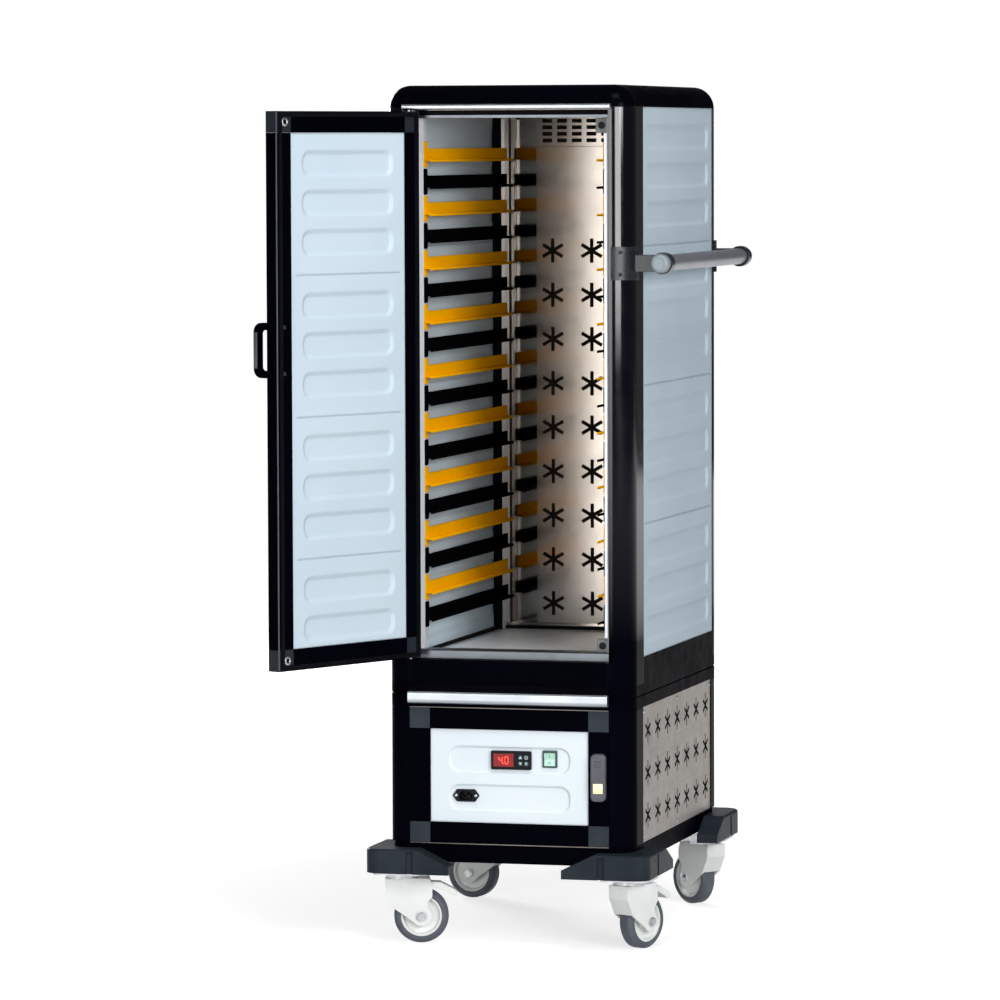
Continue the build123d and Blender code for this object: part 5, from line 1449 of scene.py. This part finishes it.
@dataclass(frozen=True)
class SoftLight:
    """A flat soft light that faces the cart.

    Attributes:
        name: Its name.
        turn: Turn to the right of the front, in degrees.
        reach: Distance over the floor in metres.
        height: Height of its middle in metres.
        size: Width and height in metres.
        level: Light on a surface at the cart that faces it, where 1 shows a colour as written.
        aim: Height of the point that it faces, in metres.
    """

    name: str
    turn: float
    reach: float
    height: float
    size: Pair
    level: float
    aim: float = 0.85

    def hang(self) -> None:
        """Hangs the light in the studio."""
        data = bpy.data.lights.new(self.name, "AREA")
        data.shape = "RECTANGLE"
        data.size, data.size_y = self.size
        angle = math.radians(self.turn)
        spot = Vector((math.sin(angle) * self.reach, -math.cos(angle) * self.reach, self.height))
        back = spot - Vector((0.0, 0.0, self.aim))
        data.energy = self.level * math.pi * math.pi * back.length_squared
        holder = bpy.data.objects.new(self.name, data)
        holder.rotation_euler = back.to_track_quat("Z", "Y").to_euler()
        holder.location = spot
        bpy.context.scene.collection.objects.link(holder)


LIGHTS = (
    SoftLight("key", 30.0, 6.0, 1.47, (2.9, 1.1), 0.29),
    SoftLight("right", 47.0, 6.0, 2.4, (1.8, 1.8), 0.38),
    SoftLight("overhead", 24.0, 2.4, 4.7, (2.0, 1.6), 0.38),
    SoftLight("left", -31.0, 6.0, 1.9, (1.6, 1.6), 0.02),
    SoftLight("screen", -13.2, 6.0, 1.2, (1.8, 2.4), 0.21),
    SoftLight("rear", -140.0, 6.0, 2.2, (2.0, 2.0), 0.5),
)


@dataclass
class Studio:
    """Floor, backdrop, lights and the camera at the photograph's view, in metres.

    Attributes:
        eye: Place of the camera.
        yaw: Turn of the view to the left, in degrees.
        pitch: Tilt of the view downwards, in degrees.
        roll: Turn of the picture, in degrees.
        lens: Focal length in millimetres.
        sensor: Width of the sensor in millimetres.
        sight: Farthest distance that the camera sees.
        floor_reach: Half width of the floor.
        floor_grey: Grey of the floor, which takes the shadow.
        floor_white: Light that the floor shows of its own under the cart and far from it.
        backdrop_x: Left and right edge of the backdrop.
        backdrop_y: Distance of the backdrop.
        backdrop_top: Height of the backdrop.
        backdrop_grey: Grey of the backdrop.
        backdrop_white: Light that the backdrop shows of its own.
        fade: Distances from the cart between which that light comes up.
        world_light: Light of the world on the cart.
        world_shine: What the world shows more than that in reflections.
    """

    eye: Triple = (2.6019, -10.1150, 1.4611)
    yaw: float = 15.005
    pitch: float = 3.645
    roll: float = -0.1846
    lens: float = 201.607
    sensor: float = 36.0
    sight: float = 200.0
    floor_reach: float = 14.0
    floor_grey: float = 0.62
    floor_white: Pair = (0.72, 0.98)
    backdrop_x: Pair = (-15.0, -0.8)
    backdrop_y: float = 13.5
    backdrop_top: float = 3.6
    backdrop_grey: float = 0.1
    backdrop_white: Pair = (1.0, 1.0)
    fade: Pair = (1.0, 4.0)
    world_light: float = 0.05
    world_shine: float = 0.03

    def camera(self) -> None:
        """Stands the camera at the photograph's view."""
        yaw, pitch, roll = (math.radians(a) for a in (self.yaw, self.pitch, self.roll))
        ahead = Vector((-math.sin(yaw) * math.cos(pitch), math.cos(yaw) * math.cos(pitch),
                        -math.sin(pitch)))
        level = Vector((math.cos(yaw), math.sin(yaw), 0.0))
        above = level.cross(ahead)
        right = level * math.cos(roll) + above * math.sin(roll)
        up = above * math.cos(roll) - level * math.sin(roll)
        data = bpy.data.cameras.new("camera")
        data.sensor_width = self.sensor
        data.lens = self.lens
        data.clip_end = self.sight
        holder = bpy.data.objects.new("camera", data)
        bpy.context.scene.collection.objects.link(holder)
        turn = Matrix((right, up, -ahead)).transposed().to_4x4()
        holder.matrix_world = Matrix.Translation(self.eye) @ turn
        bpy.context.scene.camera = holder

    def stage_finish(self, name: str, grey: float, white: Pair) -> bpy.types.Material:
        """Makes a pale stage surface that shows white to the camera and in reflections.

        Args:
            name: Name of the material.
            grey: Grey of the surface, which takes the shadow.
            white: Light that it shows of its own under the cart and far from it.

        Returns:
            The material.
        """
        made, graph = new_material(name)
        rays = graph.node("ShaderNodeLightPath").outputs
        straight = graph.worked("MAXIMUM", rays["Is Camera Ray"], rays["Is Transmission Ray"])
        seen = graph.worked("MAXIMUM", straight, rays["Is Glossy Ray"])
        away = graph.node("ShaderNodeVectorMath", {0: graph.place()}, operation="LENGTH")
        level = graph.ranged(away.outputs["Value"], self.fade, white)
        shine = graph.node("ShaderNodeEmission", {
            "Color": WHITE, "Strength": graph.worked("MULTIPLY", seen, level)})
        matt = graph.node("ShaderNodeBsdfDiffuse", {"Color": (grey, grey, grey, 1.0)})
        graph.close(graph.node("ShaderNodeAddShader", {0: matt.outputs[0], 1: shine.outputs[0]}))
        return made

    def sheet(self, name: str, outline: list[Triple], finish: bpy.types.Material) -> None:
        """Lays a flat stage sheet.

        Args:
            name: Name of the sheet.
            outline: Its corners.
            finish: Its material.
        """
        shape = bmesh.new()
        shape.faces.new([shape.verts.new(corner) for corner in outline])
        mesh = bpy.data.meshes.new(name)
        shape.to_mesh(mesh)
        shape.free()
        mesh.materials.append(finish)
        holder = bpy.data.objects.new(name, mesh)
        bpy.context.scene.collection.objects.link(holder)

    def world(self) -> None:
        """Makes a world that is white to the camera and lights the cart a little."""
        world = bpy.data.worlds.new("studio")
        bpy.context.scene.world = world
        world.use_nodes = True
        graph = Graph(world.node_tree)
        rays = graph.node("ShaderNodeLightPath").outputs
        shine = graph.worked("MULTIPLY_ADD", rays["Is Glossy Ray"], self.world_shine,
                             self.world_light)
        clear = graph.worked("MAXIMUM", rays["Is Camera Ray"], rays["Is Transmission Ray"])
        back = graph.node("ShaderNodeBackground", {
            "Color": WHITE, "Strength": graph.worked("MAXIMUM", shine, clear)})
        graph.close(back, "ShaderNodeOutputWorld")

    def build(self) -> None:
        """Sets up the stage, the lights and the camera."""
        self.camera()
        floor = self.stage_finish("stage_floor", self.floor_grey, self.floor_white)
        reach = self.floor_reach
        self.sheet("floor", [(x, y, 0.0) for x, y in oblong(2 * reach, 2 * reach)], floor)
        backdrop = self.stage_finish("stage_backdrop", self.backdrop_grey, self.backdrop_white)
        (left, right), y, top = self.backdrop_x, self.backdrop_y, self.backdrop_top
        self.sheet("backdrop", [(left, y, 0.0), (right, y, 0.0), (right, y, top), (left, y, top)],
                   backdrop)
        for light in LIGHTS:
            light.hang()
        self.world()
        bpy.context.scene.view_settings.view_transform = "Standard"


def dress_nodes() -> None:
    """Gives every carried-over node its finish; the casters' nodes are told by their names."""
    for name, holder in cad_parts.items():
        finish = NODE_FINISHES.get(name)
        if finish is None:
            finish = TYRE if name.endswith("tyre") else NYLON
        holder.data.materials.clear()
        holder.data.materials.append(finish.material())
        LOG.info("%s takes %s", name, finish.name)


def main() -> None:
    """Dresses the cart, adds its small pieces and sets up the studio."""
    logging.basicConfig(level=logging.INFO, format="%(message)s")
    dress_nodes()
    parts = [
        Door(), Cavity(), Rack(), ControlFront(), MachineBay(), PushBar(),
        Caster("front_left", (-SWIVEL_X, -SWIVEL_Y), True),
        Caster("front_right", (SWIVEL_X, -SWIVEL_Y), True),
        Caster("rear_right", (SWIVEL_X, SWIVEL_Y), False),
        Caster("rear_left", (-SWIVEL_X, SWIVEL_Y), False),
        Studio(),
    ]
    for part in parts:
        part.build()


if __name__ == "__main__":
    main()
